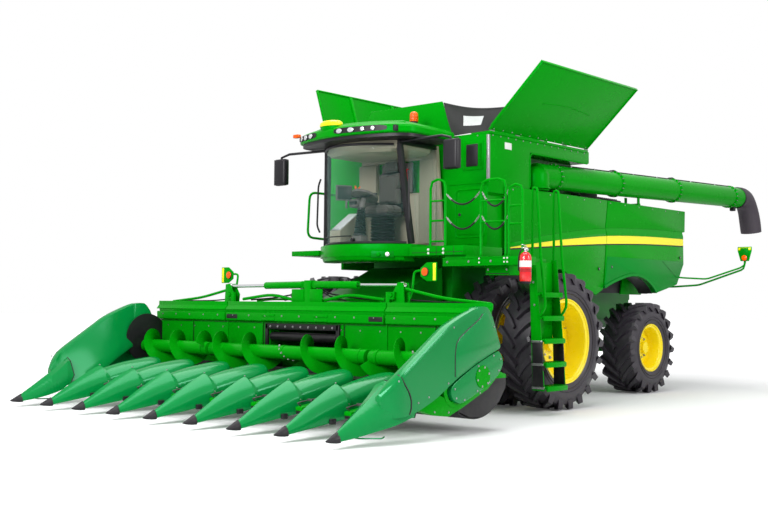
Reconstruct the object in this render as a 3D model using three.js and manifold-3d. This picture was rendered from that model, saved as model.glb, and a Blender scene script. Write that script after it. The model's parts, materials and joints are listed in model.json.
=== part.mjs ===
// Combine harvester with an eight-row folding corn header, built as separate named pieces.
// Millimetres, +Z up. The machine faces -Y and its left side is +X. Inside this file the
// y of the front axle is 0; the whole machine is then moved so that the centre of its
// bounding box stands on the origin.
import * as THREE from "three";
import { mergeVertices } from "three/addons/utils/BufferGeometryUtils.js";
import Module from "manifold-3d";

const wasm = await Module();
wasm.setup();

// ---- driving dimensions ----

const GAP = 0.5; // between pieces that touch in the real machine
const RUN = 8; // running clearance between pieces that move past each other

// wheels and axles
const WHEELBASE = 3585;
const FRONT_TYRE_R = 950;
const FRONT_TYRE_W = 520;
const FRONT_RIM_R = 570;
const FRONT_OUTER_X = 2194; // centre of the outer front tyre
const DUAL_PITCH = 760; // between the twin front tyres
const REAR_TYRE_R = 750;
const REAR_TYRE_W = 600;
const REAR_RIM_R = 376;
const REAR_X = 1520; // centre of the rear tyre
const KINGPIN_X = 1050;
const TYRE_SIDES = 28;
const RIM_SIDES = 24;

// lower body, between the wheels
const BODY_HALF = 780;
const BODY_FRONT = -480;
const BODY_BACK = 4640;
const BODY_BOTTOM = FRONT_TYRE_R + 250; // over the front axle
const DECK_Z = 2130; // top of the lower body
const DECK_TOP = 2220; // top of the engine deck
const RAIL_H = 130;
const RAIL_W = 120;

// side panels
const SIDE_X = 1640; // outer face of the side panels
const PANEL_T = 45;
const PANEL_TOP = 3150;
const PANEL_SPLIT_Y = 2380;
const PANEL_FRONT_Y = -330;
const TAIL_Y = 5130;

// grain tank
const TANK_HALF = SIDE_X - PANEL_T - 5; // inside the side panels
const TANK_FRONT = -700;
const TANK_BACK = 1950;
const TANK_FLOOR = 2 * FRONT_TYRE_R + 350; // the tank stands over the front tyres
const TANK_TOP = 3865;
const TANK_WALL = 30;
const COVER_T = 14;
const COVER_FLANGE = 30;
const LEFT_COVER_W = 1230;
const LEFT_COVER_RISE = 43; // degrees above the horizontal, outwards
const RIGHT_COVER_W = 1040;
const RIGHT_COVER_RISE = 72;
const END_COVER_H = 550;
const END_COVER_HALF = 930;

// unloading auger
const SPOUT_PIVOT_X = 1500;
const SPOUT_PIVOT_Y = 600;
const SPOUT_PIVOT_Z = 3380;
const SPOUT_R = 200;
const SPOUT_END_X = 1712; // the tube leans out a little on its way back
const SPOUT_END_Y = 7100;
const SPOUT_END_Z = 3540;

// cab
const CAB_FLOOR_Z = 2280;
const CAB_HALF = 870; // at the bottom of the pillars
const CAB_LEAN = 130; // how far each side leans in at the roof
const CAB_FRONT = -1500; // front pillars
const CAB_BACK = -760;
const CAB_ROOF_Z = 3740;
const WALL = 50;
const GLASS_T = 12;
const WINDSCREEN_BULGE = 420;

// platform and ladder
const PLATFORM_Z = 2235;
const PLATFORM_FRONT = -1580;
const LADDER_FRONT = -975;
const LADDER_BACK = -455;
const LADDER_X = 2500;
const LADDER_DEPTH = 300; // room that the ladder needs as it swings round its front edge

// feeder house
const FEEDER_HALF = 700;
const FEEDER_FRONT = -2440;

// corn header
const ROW = 762;
const HEADER_BACK = -2500;
const BACK_SHEET_Y = -2740;
const AUGER_Y = -3050;
const AUGER_Z = 790;
const AUGER_TUBE_R = 95;
const AUGER_R = 255;
const TROUGH_R = 300;
const FOLD_X = 2 * ROW + 21; // seam between centre and wing
const FOLD_PIN_X = FOLD_X + 28;
const FOLD_PIN_Z = 1560;
const END_HOOD_W = 282; // end divider outside the last row
const HEADER_HALF = 4 * ROW + END_HOOD_W;
const TIP_Y = -5300;
const TIP_Z = 95;
const HOOD_TOP = 620;
const END_HOOD_T = 130; // thickness of the end divider beside the trough

// ---- materials ----

function finish(color, roughness, metalness = 0) {
  return new THREE.MeshStandardMaterial({ color, roughness, metalness });
}

const green = finish(0x0a8a1e, 0.35);
const hoodGreen = finish(0x0b9450, 0.3);
const yellow = finish(0xf2cf10, 0.4);
const black = finish(0x1c1a20, 0.5);
const rubber = finish(0x2b2730, 0.85);
const steel = finish(0x8a8c8e, 0.35, 0.9);
const chrome = finish(0xd8dadc, 0.12, 1);
const glass = finish(0xa8d8cc, 0.05);
const trim = finish(0x8b8778, 0.8);

// ---- solids ----

const degrees = THREE.MathUtils.degToRad;

// A closed three.js geometry as a solid that can be joined and cut, moved and turned about Z first.
function solid(geometry, place = [0, 0, 0], turn = 0) {
  const bare = geometry.clone();
  bare.rotateZ(turn);
  bare.translate(...place);
  bare.deleteAttribute("normal");
  bare.deleteAttribute("uv");
  const merged = mergeVertices(bare, 1e-3);
  return new wasm.Manifold(
    new wasm.Mesh({
      numProp: 3,
      vertProperties: new Float32Array(merged.attributes.position.array),
      triVerts: new Uint32Array(merged.index.array),
    }),
  );
}

function join(...pieces) {
  return pieces.flat().reduce((whole, piece) => whole.add(piece));
}

function cut(piece, ...tools) {
  return tools.flat().reduce((left, tool) => left.subtract(tool), piece);
}

// A block between two values along each axis, given in either order.
function box(x, y, z) {
  const size = [x, y, z].map(([a, b]) => Math.abs(b - a));
  const centre = [x, y, z].map(([a, b]) => (a + b) / 2);
  return solid(new THREE.BoxGeometry(...size).translate(...centre));
}

const PLANES = {
  x: new THREE.Matrix4().set(0, 0, 1, 0, 1, 0, 0, 0, 0, 1, 0, 0, 0, 0, 0, 1),
  y: new THREE.Matrix4().set(1, 0, 0, 0, 0, 0, -1, 0, 0, 1, 0, 0, 0, 0, 0, 1),
  z: new THREE.Matrix4(),
};

// An outline in the plane across one axis, (y, z), (x, z) or (x, y), pushed along that axis.
function slab(axis, outline, from, to) {
  const shape = new THREE.Shape(outline.map(([u, v]) => new THREE.Vector2(u, v)));
  const [low, high] = [Math.min(from, to), Math.max(from, to)];
  const geometry = new THREE.ExtrudeGeometry(shape, { depth: high - low, bevelEnabled: false });
  geometry.applyMatrix4(PLANES[axis]);
  const start = axis === "y" ? high : low;
  geometry.translate(axis === "x" ? start : 0, axis === "y" ? start : 0, axis === "z" ? start : 0);
  return solid(geometry);
}

// Points of an arc in a plane, angles in degrees.
function arc(u, v, radius, from, to, steps) {
  return Array.from({ length: steps + 1 }, (_, i) => {
    const angle = degrees(from + ((to - from) * i) / steps);
    return [u + radius * Math.cos(angle), v + radius * Math.sin(angle)];
  });
}

// A round bar from one point to another.
function bar(from, to, radius, sides = 12, endRadius = radius) {
  const start = new THREE.Vector3(...from);
  const way = new THREE.Vector3(...to).sub(start);
  const geometry = new THREE.CylinderGeometry(endRadius, radius, way.length(), sides);
  geometry.translate(0, way.length() / 2, 0);
  const turn = new THREE.Quaternion().setFromUnitVectors(new THREE.Vector3(0, 1, 0), way.normalize());
  geometry.applyQuaternion(turn);
  return solid(geometry.translate(...from));
}

// A flat strip of rectangular section from one point to another; wide is along the given axis.
function strip(from, to, wide, thick, across) {
  const start = new THREE.Vector3(...from);
  const way = new THREE.Vector3(...to).sub(start);
  const along = way.clone().normalize();
  const side = new THREE.Vector3(...across).normalize();
  const up = new THREE.Vector3().crossVectors(along, side).normalize();
  const geometry = new THREE.BoxGeometry(wide, thick, way.length());
  geometry.translate(0, 0, way.length() / 2);
  const flat = new THREE.Vector3().crossVectors(up, along);
  geometry.applyMatrix4(new THREE.Matrix4().makeBasis(flat, up, along));
  return solid(geometry.translate(...from));
}

// A bent round tube through a list of points, with mitred bends.
class Route extends THREE.Curve {
  constructor(points) {
    super();
    this.points = points.map((p) => new THREE.Vector3(...p));
  }

  getPointAt(u) {
    return this.points[Math.round(u * (this.points.length - 1))].clone();
  }

  getTangentAt(u) {
    const i = Math.round(u * (this.points.length - 1));
    const here = this.points[i];
    const before = this.points[i - 1] ?? here;
    const after = this.points[i + 1] ?? here;
    const back = here.clone().sub(before).normalize();
    const ahead = after.clone().sub(here).normalize();
    return back.add(ahead).normalize();
  }
}

// The same route with each corner rounded by an arc of a few points.
function rounded(points, radius, steps = 2) {
  const corner = (before, here, after) => {
    const p = new THREE.Vector3(...here);
    const a = new THREE.Vector3(...before).sub(p);
    const b = new THREE.Vector3(...after).sub(p);
    const reach = Math.min(radius, a.length() * 0.45, b.length() * 0.45);
    const start = p.clone().addScaledVector(a.normalize(), reach);
    const end = p.clone().addScaledVector(b.normalize(), reach);
    const bend = new THREE.QuadraticBezierCurve3(start, p, end);
    return bend.getPoints(steps).map((q) => q.toArray());
  };
  const middle = points.slice(1, -1).flatMap((p, i) => corner(points[i], p, points[i + 2]));
  return [points[0], ...middle, points.at(-1)];
}

function pipe(points, radius, bend = 0, sides = 6) {
  const route = new Route(bend ? rounded(points, bend) : points);
  const ring = arc(0, 0, radius, 0, 360, sides).slice(0, -1);
  const section = new THREE.Shape(ring.map((p) => new THREE.Vector2(...p)));
  const steps = route.points.length - 1;
  return solid(new THREE.ExtrudeGeometry(section, { extrudePath: route, steps, bevelEnabled: false }));
}

// A turned piece about the X axis: profile points are (radius, x).
function turned(profile, sides, place) {
  const points = profile.map(([radius, x]) => new THREE.Vector2(radius, x));
  const geometry = new THREE.LatheGeometry(points, sides, Math.PI / sides);
  geometry.rotateZ(-Math.PI / 2);
  return solid(geometry, place);
}

// A closed surface from points and faces, turned right side out.
function closed(points, faces) {
  const geometry = new THREE.BufferGeometry();
  geometry.setAttribute("position", new THREE.BufferAttribute(new Float32Array(points.flat()), 3));
  geometry.setIndex(faces.flat());
  const made = solid(geometry);
  if (made.volume() > 0) return made;
  geometry.setIndex(faces.map(([a, b, c]) => [a, c, b]).flat());
  return solid(geometry);
}

// A thin sheet through rows of points, given its thickness by an offset.
function sheet(rows, offset) {
  const columns = rows[0].length;
  const front = rows.flat();
  const points = [...front, ...front.map((p) => p.map((value, i) => value + offset[i]))];
  const at = (r, c, layer) => layer * front.length + r * columns + c;
  const faces = [];
  for (let r = 0; r < rows.length - 1; r++)
    for (let c = 0; c < columns - 1; c++) {
      faces.push([at(r, c, 0), at(r, c + 1, 0), at(r + 1, c + 1, 0)]);
      faces.push([at(r, c, 0), at(r + 1, c + 1, 0), at(r + 1, c, 0)]);
      faces.push([at(r, c, 1), at(r + 1, c + 1, 1), at(r, c + 1, 1)]);
      faces.push([at(r, c, 1), at(r + 1, c, 1), at(r + 1, c + 1, 1)]);
    }
  const last = rows.length - 1;
  const edge = [
    ...front.slice(0, columns).map((_, c) => [0, c]),
    ...rows.slice(1).map((_, r) => [r + 1, columns - 1]),
    ...front.slice(1, columns).map((_, c) => [last, columns - 2 - c]),
    ...rows.slice(1, -1).map((_, r) => [last - 1 - r, 0]),
  ];
  edge.forEach(([r, c], i) => {
    const [r2, c2] = edge[(i + 1) % edge.length];
    faces.push([at(r, c, 0), at(r, c, 1), at(r2, c2, 1)]);
    faces.push([at(r, c, 0), at(r2, c2, 1), at(r2, c2, 0)]);
  });
  return closed(points, faces);
}

// A solid through sections, each a ring of the same number of points.
function loft(rings) {
  const around = rings[0].length;
  const last = rings.length - 1;
  const at = (r, c) => r * around + (c % around);
  const faces = [];
  for (let r = 0; r < last; r++)
    for (let c = 0; c < around; c++) {
      faces.push([at(r, c), at(r + 1, c), at(r + 1, c + 1)]);
      faces.push([at(r, c), at(r + 1, c + 1), at(r, c + 1)]);
    }
  for (let c = 1; c < around - 1; c++) {
    faces.push([at(0, 0), at(0, c), at(0, c + 1)]);
    faces.push([at(last, 0), at(last, c + 1), at(last, c)]);
  }
  return closed(rings.flat(), faces);
}

// ---- the scene ----

const machine = new THREE.Group();

function add(name, piece, material, place = [0, 0, 0]) {
  const mesh = piece.getMesh();
  const geometry = new THREE.BufferGeometry();
  geometry.setAttribute("position", new THREE.BufferAttribute(new Float32Array(mesh.vertProperties), 3));
  geometry.setIndex(new THREE.BufferAttribute(new Uint32Array(mesh.triVerts), 1));
  const made = new THREE.Mesh(geometry, material);
  made.name = name;
  made.position.set(...place);
  machine.add(made);
}

// ---- wheels ----

function tyre(radius, width, rim) {
  const half = width / 2;
  const crown = radius / Math.cos(Math.PI / TYRE_SIDES);
  const bead = rim + 6;
  return turned(
    [
      [bead, -half * 0.8],
      [rim + 90, -half],
      [crown - 130, -half],
      [crown, -half * 0.86],
      [crown, half * 0.86],
      [crown - 130, half],
      [rim + 90, half],
      [bead, half * 0.8],
      [bead, -half * 0.8],
    ],
    TYRE_SIDES,
  );
}

// A rim with its disc; dish is where the disc sits along the axle, outwards positive.
function rim(radius, width, dish, bore, place) {
  const half = width / 2;
  return turned(
    [
      [0, dish - 14],
      [bore, dish - 14],
      [radius - 40, dish - 40],
      [radius - 40, -half * 0.8],
      [radius + 4, -half * 0.86],
      [radius - 20, -half * 0.74],
      [radius - 20, half * 0.74],
      [radius + 4, half * 0.86],
      [radius - 40, half * 0.8],
      [radius - 40, dish + 12],
      [bore, dish + 14],
      [0, dish + 14],
    ],
    RIM_SIDES,
    place,
  );
}

const INNER_X = FRONT_OUTER_X - DUAL_PITCH;
const HUB_R = 255; // final drive's flange
const FRONT_DISH = -60;
const HUB_FACE = INNER_X - 150; // where the inner rim bolts on
const innerDisc = INNER_X + FRONT_DISH;
const outerDisc = FRONT_OUTER_X + FRONT_DISH;

for (const [side, sign] of [["left", 1], ["right", -1]]) {
  const outer = tyre(FRONT_TYRE_R, FRONT_TYRE_W, FRONT_RIM_R);
  add(`front_${side}_outer_tyre`, outer, rubber, [sign * FRONT_OUTER_X, 0, FRONT_TYRE_R]);
  add(`front_${side}_inner_tyre`, outer, rubber, [sign * INNER_X, 0, FRONT_TYRE_R]);
  const rims = join(
    ...[FRONT_OUTER_X, INNER_X].map((x) =>
      rim(FRONT_RIM_R, FRONT_TYRE_W, sign * FRONT_DISH, 300, [sign * x, 0, 0]),
    ),
    bar([sign * innerDisc, 0, 0], [sign * outerDisc, 0, 0], 330, 16),
    bar([sign * HUB_FACE, 0, 0], [sign * innerDisc, 0, 0], 240, 16),
    bar([sign * outerDisc, 0, 0], [sign * (outerDisc + 90), 0, 0], 150, 16),
  );
  add(`front_${side}_rims`, rims, yellow, [0, 0, FRONT_TYRE_R]);

  add(`rear_${side}_tyre`, tyre(REAR_TYRE_R, REAR_TYRE_W, REAR_RIM_R), rubber, [
    sign * REAR_X,
    WHEELBASE,
    REAR_TYRE_R,
  ]);
  const dish = sign * 60;
  const rearRim = join(
    rim(REAR_RIM_R, REAR_TYRE_W, dish, 200),
    bar([dish, 0, 0], [dish + sign * 110, 0, 0], 95, 16),
    bar([dish, 0, 0], [sign * -150, 0, 0], 140, 16),
  );
  add(`rear_${side}_rim`, rearRim, yellow, [sign * REAR_X, WHEELBASE, REAR_TYRE_R]);

  // steering knuckle: a fork above and below the axle's end, a spindle and the steering arm
  const spindleEnd = REAR_X - 150 - 10;
  const knuckle = join(
    box([sign * (KINGPIN_X - 75), sign * (KINGPIN_X + 125)], [-75, 75], [112, 165]),
    box([sign * (KINGPIN_X - 75), sign * (KINGPIN_X + 125)], [-75, 75], [-165, -112]),
    box([sign * (KINGPIN_X + 100), sign * (KINGPIN_X + 150)], [-75, 75], [-165, 165]),
    bar([sign * (KINGPIN_X + 100), 0, 0], [sign * spindleEnd, 0, 0], 70, 16),
    box([sign * (KINGPIN_X - 60), sign * (KINGPIN_X + 20)], [60, 260], [-160, -130]),
  );
  add(`rear_${side}_knuckle`, knuckle, green, [0, WHEELBASE, REAR_TYRE_R]);
}

// ---- axles, frame and lower body ----

const AXLE_TOP = BODY_BOTTOM - RAIL_H - 2 * GAP;
const frontAxle = join(
  box([-1000, 1000], [-140, 140], [FRONT_TYRE_R - 118, AXLE_TOP]),
  bar([-HUB_FACE + RUN, 0, FRONT_TYRE_R], [HUB_FACE - RUN, 0, FRONT_TYRE_R], 110, 16),
  bar([-HUB_FACE + RUN, 0, FRONT_TYRE_R], [-HUB_FACE + 190, 0, FRONT_TYRE_R], HUB_R, 24),
  bar([HUB_FACE - 190, 0, FRONT_TYRE_R], [HUB_FACE - RUN, 0, FRONT_TYRE_R], HUB_R, 24),
  box([-230, 230], [-330, -130], [FRONT_TYRE_R - 118, AXLE_TOP]),
);
add("front_axle", frontAxle, green);

const REAR_AXLE_TOP = REAR_TYRE_R + 90;
const rearAxle = join(
  box([-KINGPIN_X, KINGPIN_X], [WHEELBASE - 90, WHEELBASE + 90], [REAR_TYRE_R - 90, REAR_AXLE_TOP]),
  bar([-KINGPIN_X, WHEELBASE, REAR_TYRE_R - 105], [-KINGPIN_X, WHEELBASE, REAR_TYRE_R + 105], 90, 16),
  bar([KINGPIN_X, WHEELBASE, REAR_TYRE_R - 105], [KINGPIN_X, WHEELBASE, REAR_TYRE_R + 105], 90, 16),
  box([-160, 160], [WHEELBASE - 110, WHEELBASE + 110], [REAR_AXLE_TOP - 10, AXLE_TOP]),
  box([-120, 120], [WHEELBASE + 80, WHEELBASE + 330], [REAR_TYRE_R - 60, REAR_TYRE_R + 60]),
);
add("rear_axle", rearAxle, green);

const RAIL_X = 720;
const rails = [-1, 1].map((sign) =>
  box(
    [sign * (RAIL_X - RAIL_W / 2), sign * (RAIL_X + RAIL_W / 2)],
    [BODY_FRONT, BODY_BACK - 300],
    [AXLE_TOP + GAP, BODY_BOTTOM - GAP],
  ),
);
const crossings = [BODY_FRONT, 1500, WHEELBASE - 160, BODY_BACK - 420].map((y) =>
  box([-RAIL_X, RAIL_X], [y, y + (y === WHEELBASE - 160 ? 320 : 120)], [AXLE_TOP + GAP, BODY_BOTTOM - GAP]),
);
add("main_frame", join(...rails, ...crossings), green);

const bodyOutline = [
  [BODY_FRONT, BODY_BOTTOM],
  [3900, BODY_BOTTOM],
  [BODY_BACK, 1560],
  [BODY_BACK, DECK_Z],
  [BODY_FRONT, DECK_Z],
];
const middleRail = box([-RAIL_X, RAIL_X], [1500 - 5, 1620 + 5], [AXLE_TOP - 5, BODY_BOTTOM]);
const markers = [1, -1].flatMap((sign) => [
  pipe(
    [
      [sign * (BODY_HALF - 5), 4500, 1790],
      [sign * 1520, 4900, 1790],
      [sign * 1950, 5000, 1820],
      [sign * 2780, 5000, 2090],
      [sign * 2800, 5000, 2320],
    ],
    17,
    60,
  ),
  box([sign * 2730, sign * 2870], [4960, 5040], [2300, 2450]),
]);
const engineDeck = box(
  [-TANK_HALF + 40, TANK_HALF - 40],
  [TANK_BACK + 10, TAIL_Y - 270],
  [DECK_Z - GAP, DECK_TOP],
);
add(
  "separator_body",
  join(slab("x", bodyOutline, -BODY_HALF, BODY_HALF), engineDeck, ...markers),
  green,
);

const BELLY_HALF = RAIL_X - RAIL_W / 2 - 5;
const belly = slab(
  "x",
  [
    [200, BODY_BOTTOM - GAP],
    [200, 1010],
    [520, 780],
    [2700, 780],
    [3150, 1010],
    [3150, BODY_BOTTOM - GAP],
  ],
  -BELLY_HALF,
  BELLY_HALF,
);
add("cleaning_shoe", cut(belly, middleRail), green);

const chopperOutline = [
  [3960, 1180],
  [4400, 1080],
  [4860, 1220],
  [4860, 1640],
  [BODY_BACK + 6, 1640],
  [BODY_BACK + 6, 1555],
];
const CHOPPER_HALF = 640;
const chopper = cut(
  slab("x", chopperOutline, -CHOPPER_HALF, CHOPPER_HALF),
  box([-RAIL_X - RAIL_W, RAIL_X + RAIL_W], [3900, BODY_BACK - 112], [1000, BODY_BOTTOM + 2]),
);
add("straw_chopper", chopper, green);

// spreader discs hang below the chopper and spin on upright shafts
const DISC_Y = 4700;
const DISC_Z = 1010;
for (const [side, sign] of [["left", 1], ["right", -1]]) {
  const blade = new THREE.BoxGeometry(600, 24, 60);
  const blades = [0, 60, 120].map((turn) => solid(blade, [0, 0, 30], degrees(turn)));
  const disc = join(
    bar([0, 0, -6], [0, 0, 6], 310, 24),
    ...blades,
    bar([0, 0, 0], [0, 0, 100], 40, 12),
  );
  add(`spreader_disc_${side}`, disc, steel, [sign * 335, DISC_Y, DISC_Z]);
}

// ---- upper deck, engine and tail ----

add("engine_block", box([-650, 650], [2350, 3650], [DECK_TOP + GAP, 3020]), steel);

const ROOF_Z = 3135;
const hoodRoof = box(
  [-SIDE_X + PANEL_T + 6, SIDE_X - PANEL_T - 6],
  [TANK_BACK + 10, TAIL_Y - 20],
  [ROOF_Z - 60, ROOF_Z],
);
const tailOutline = [
  [TAIL_Y - 40, ROOF_Z],
  [TAIL_Y, ROOF_Z],
  [TAIL_Y - 10, 2763],
  [TAIL_Y - 110, 2674],
  [TAIL_Y - 100, 2188],
  [TAIL_Y - 370, 1830],
  [TAIL_Y - 415, 1850],
  [TAIL_Y - 145, 2200],
  [TAIL_Y - 150, 2690],
  [TAIL_Y - 50, 2780],
];
const tail = slab("x", tailOutline, -SIDE_X + PANEL_T + 6, SIDE_X - PANEL_T - 6);
add("rear_hood", join(hoodRoof, tail), green);

// ---- side panels, hinged along their top edges ----

const FRONT_ARCH_Z = 2 * FRONT_TYRE_R + 85; // lower edge of the panel over the front tyre
const frontPanel = [
  [PANEL_FRONT_Y, PANEL_TOP - 12],
  [PANEL_FRONT_Y, FRONT_ARCH_Z],
  [1080, FRONT_ARCH_Z],
  [2050, 1600],
  [PANEL_SPLIT_Y - 110, 1700],
  [PANEL_SPLIT_Y + 70, PANEL_TOP],
];
const ARCH_Y = 3300;
const rearPanel = [
  [PANEL_SPLIT_Y + 78, PANEL_TOP],
  [PANEL_SPLIT_Y - 100, 1710],
  [ARCH_Y - 480, 1860],
  [ARCH_Y, 1935],
  [ARCH_Y + 400, 1850],
  [ARCH_Y + 680, 1660],
  [TAIL_Y - 387, 1816],
  [TAIL_Y - 111, 2188],
  [TAIL_Y - 121, 2674],
  [TAIL_Y - 20, 2763],
  [TAIL_Y, PANEL_TOP - 12],
];
for (const [side, sign] of [["left", 1], ["right", -1]]) {
  const faces = [sign * SIDE_X, sign * (SIDE_X - PANEL_T)];
  add(`side_panel_front_${side}`, slab("x", frontPanel, ...faces), green);
  const whole = slab("x", rearPanel, ...faces);
  if (sign > 0) {
    add(`side_panel_rear_${side}`, whole, green);
  } else {
    const screenY = 3550;
    const screenZ = 2620;
    const screen = join(
      bar([-SIDE_X - 25, screenY, screenZ], [-SIDE_X + 75, screenY, screenZ], 400, 32),
      bar([-SIDE_X - 40, screenY, screenZ], [-SIDE_X, screenY, screenZ], 60, 12),
    );
    add(`side_panel_rear_${side}`, join(whole, screen), green);
  }
}

// ---- grain tank ----

// The left side is let in for the stored unloading auger.
const RECESS_X = SPOUT_PIVOT_X - SPOUT_R - 45;
const RECESS_FRONT = 320;
const RECESS_LOW = PANEL_TOP + 20;
const RECESS_HIGH = 3690;
function tankShell(inset) {
  const block = box(
    [-TANK_HALF + inset, TANK_HALF - inset],
    [TANK_FRONT + inset, TANK_BACK - inset],
    [TANK_FLOOR + inset, TANK_TOP + inset],
  );
  const corners = [-1, 1].map((sign) =>
    slab(
      "y",
      [
        [sign * (TANK_HALF - 40 - inset), TANK_FLOOR - 50],
        [sign * (TANK_HALF + 50), TANK_FLOOR - 50],
        [sign * (TANK_HALF + 50), RECESS_LOW - 120 - inset],
        [sign * (TANK_HALF - 40 - inset), RECESS_LOW - 160 - inset],
      ],
      TANK_FRONT - 50,
      TANK_BACK + 50,
    ),
  );
  const recess = box(
    [RECESS_X - inset, TANK_HALF + 50],
    [RECESS_FRONT - inset, TANK_BACK + 50],
    [RECESS_LOW - inset - 100, RECESS_HIGH + inset],
  );
  return cut(block, ...corners, recess);
}
const RISER_TOP = SPOUT_PIVOT_Z - SPOUT_R - 12;
const tank = cut(tankShell(0), tankShell(TANK_WALL));

// ---- unloading auger ----

const RISER_X = SPOUT_PIVOT_X - 60;
const riser = join(
  bar([RISER_X, SPOUT_PIVOT_Y, TANK_FLOOR + 10], [RISER_X, SPOUT_PIVOT_Y, RISER_TOP - 5], 138, 16),
  bar([SPOUT_PIVOT_X, SPOUT_PIVOT_Y, RISER_TOP - 10], [SPOUT_PIVOT_X, SPOUT_PIVOT_Y, RISER_TOP], 205, 16),
);
add("grain_tank", join(tank, riser), green);

const pivot = [SPOUT_PIVOT_X, SPOUT_PIVOT_Y, SPOUT_PIVOT_Z];
const spoutEnd = [SPOUT_END_X, SPOUT_END_Y, SPOUT_END_Z];
const along = (share) => pivot.map((value, i) => value + share * (spoutEnd[i] - value));
const unloader = join(
  bar(
    [SPOUT_PIVOT_X, SPOUT_PIVOT_Y, RISER_TOP + RUN],
    [SPOUT_PIVOT_X, SPOUT_PIVOT_Y, SPOUT_PIVOT_Z + 120],
    SPOUT_R + 5,
    16,
  ),
  bar(along(0), spoutEnd, SPOUT_R - 10, 16),
  ...[0.07, 0.33, 0.62, 0.93].map((share) => bar(along(share), along(share + 0.006), SPOUT_R + 12, 16)),
);
add("unloading_auger", unloader, green);
const boot = pipe(
  [
    along(1.0002),
    along(1.05),
    [SPOUT_END_X + 16, SPOUT_END_Y + 570, SPOUT_END_Z - 230],
    [SPOUT_END_X + 18, SPOUT_END_Y + 640, SPOUT_END_Z - 650],
  ],
  195,
  0,
  12,
);
add("unloader_boot", boot, black);

// ---- tank covers ----

// A cover is modelled flat over its hinge line and turned up to where it stands open.
const HINGE_Z = TANK_TOP + 45;
const COVER_FRONT = TANK_FRONT + 15;
const COVER_BACK = TANK_BACK - 60;
function sideCover(sign, width, rise) {
  const angle = degrees(rise);
  const out = [sign * Math.cos(angle), Math.sin(angle)];
  const up = [-sign * Math.sin(angle), Math.cos(angle)];
  const at = (reach, lift) => [
    sign * (TANK_HALF - 6) + out[0] * reach + up[0] * lift,
    HINGE_Z + out[1] * reach + up[1] * lift,
  ];
  const section = [at(0, 0), at(width, 0), at(width, COVER_T), at(0, COVER_T)];
  const skin = slab("y", section, COVER_FRONT, COVER_BACK);
  const flange = (from, to, front, back) =>
    slab("y", [at(from, 0), at(to, 0), at(to, COVER_FLANGE), at(from, COVER_FLANGE)], front, back);
  const flanges = [
    flange(width - 20, width, COVER_FRONT, COVER_BACK),
    flange(60, width, COVER_FRONT, COVER_FRONT + 20),
    flange(60, width, COVER_BACK - 20, COVER_BACK),
    ...[0.3, 0.7].map((share) => {
      const y = COVER_FRONT + share * (COVER_BACK - COVER_FRONT);
      return flange(60, width, y - 20, y + 20);
    }),
  ];
  return join(skin, ...flanges);
}
add("tank_cover_left", sideCover(1, LEFT_COVER_W, LEFT_COVER_RISE), green);
add("tank_cover_right", sideCover(-1, RIGHT_COVER_W, RIGHT_COVER_RISE), green);

const endCover = (y0, y1) =>
  slab(
    "y",
    [
      [-END_COVER_HALF, TANK_TOP + 5],
      [END_COVER_HALF, TANK_TOP + 5],
      [END_COVER_HALF - 220, TANK_TOP + END_COVER_H],
      [-END_COVER_HALF + 220, TANK_TOP + END_COVER_H],
    ],
    y0,
    y1,
  );
const END_COVER_T = 22;
add("tank_cover_front", endCover(TANK_FRONT + 40, TANK_FRONT + 40 + END_COVER_T), green);
add("tank_cover_rear", endCover(TANK_BACK - 40 - END_COVER_T, TANK_BACK - 40), green);

// ---- cab ----

const lean = (z) => (CAB_LEAN * (z - CAB_FLOOR_Z)) / (CAB_ROOF_Z - CAB_FLOOR_Z);
// points across the cab's bowed front from one pillar to the other
function bow(half, front, bulge, steps = 8) {
  return Array.from({ length: steps + 1 }, (_, i) => {
    const u = (2 * i) / steps - 1;
    return [u * half, front - bulge * (1 - u * u)];
  });
}
const floorOutline = [
  ...bow(CAB_HALF + 20, CAB_FRONT - 40, WINDSCREEN_BULGE + 40),
  [CAB_HALF + 20, CAB_BACK],
  [-CAB_HALF - 20, CAB_BACK],
];
const STEER_Y = -1630;
const steering = [
  box([-90, 90], [STEER_Y - 70, STEER_Y + 70], [CAB_FLOOR_Z - 5, 2420]),
  pipe([[0, STEER_Y, 2400], [0, STEER_Y + 30, 2800], [0, STEER_Y + 90, 2990]], 45, 0, 8),
  bar([0, STEER_Y + 90, 2985], [0, STEER_Y + 102, 3015], 200, 20),
];
add("cab_floor", join(slab("z", floorOutline, PLATFORM_Z - 125, CAB_FLOOR_Z), ...steering), green);

const rearWallOutline = [
  [-CAB_HALF + lean(CAB_FLOOR_Z), CAB_FLOOR_Z + GAP],
  [CAB_HALF, CAB_FLOOR_Z + GAP],
  [CAB_HALF - lean(CAB_ROOF_Z), CAB_ROOF_Z],
  [-CAB_HALF + lean(CAB_ROOF_Z), CAB_ROOF_Z],
];
const rearWindow = box([-420, 420], [CAB_BACK - 200, CAB_BACK + 200], [3080, 3560]);
add("cab_rear_wall", cut(slab("y", rearWallOutline, CAB_BACK - WALL, CAB_BACK), rearWindow), trim);

// front pillars with a header across their tops and a sill along each side
const PILLAR = 70;
function pillar(sign) {
  const foot = CAB_HALF - PILLAR / 2;
  return strip(
    [sign * foot, CAB_FRONT + PILLAR / 2, CAB_FLOOR_Z + 8],
    [sign * (foot - CAB_LEAN), CAB_FRONT - 90, CAB_ROOF_Z - 12],
    PILLAR,
    PILLAR,
    [1, 0, 0],
  );
}
const topRail = (sign) =>
  box(
    [sign * (CAB_HALF - CAB_LEAN - PILLAR), sign * (CAB_HALF - CAB_LEAN)],
    [CAB_FRONT - 120, CAB_BACK - WALL - GAP],
    [CAB_ROOF_Z - 60, CAB_ROOF_Z],
  );
const header = box(
  [-CAB_HALF + CAB_LEAN, CAB_HALF - CAB_LEAN],
  [CAB_FRONT - 125, CAB_FRONT - 55],
  [CAB_ROOF_Z - 60, CAB_ROOF_Z],
);
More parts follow.
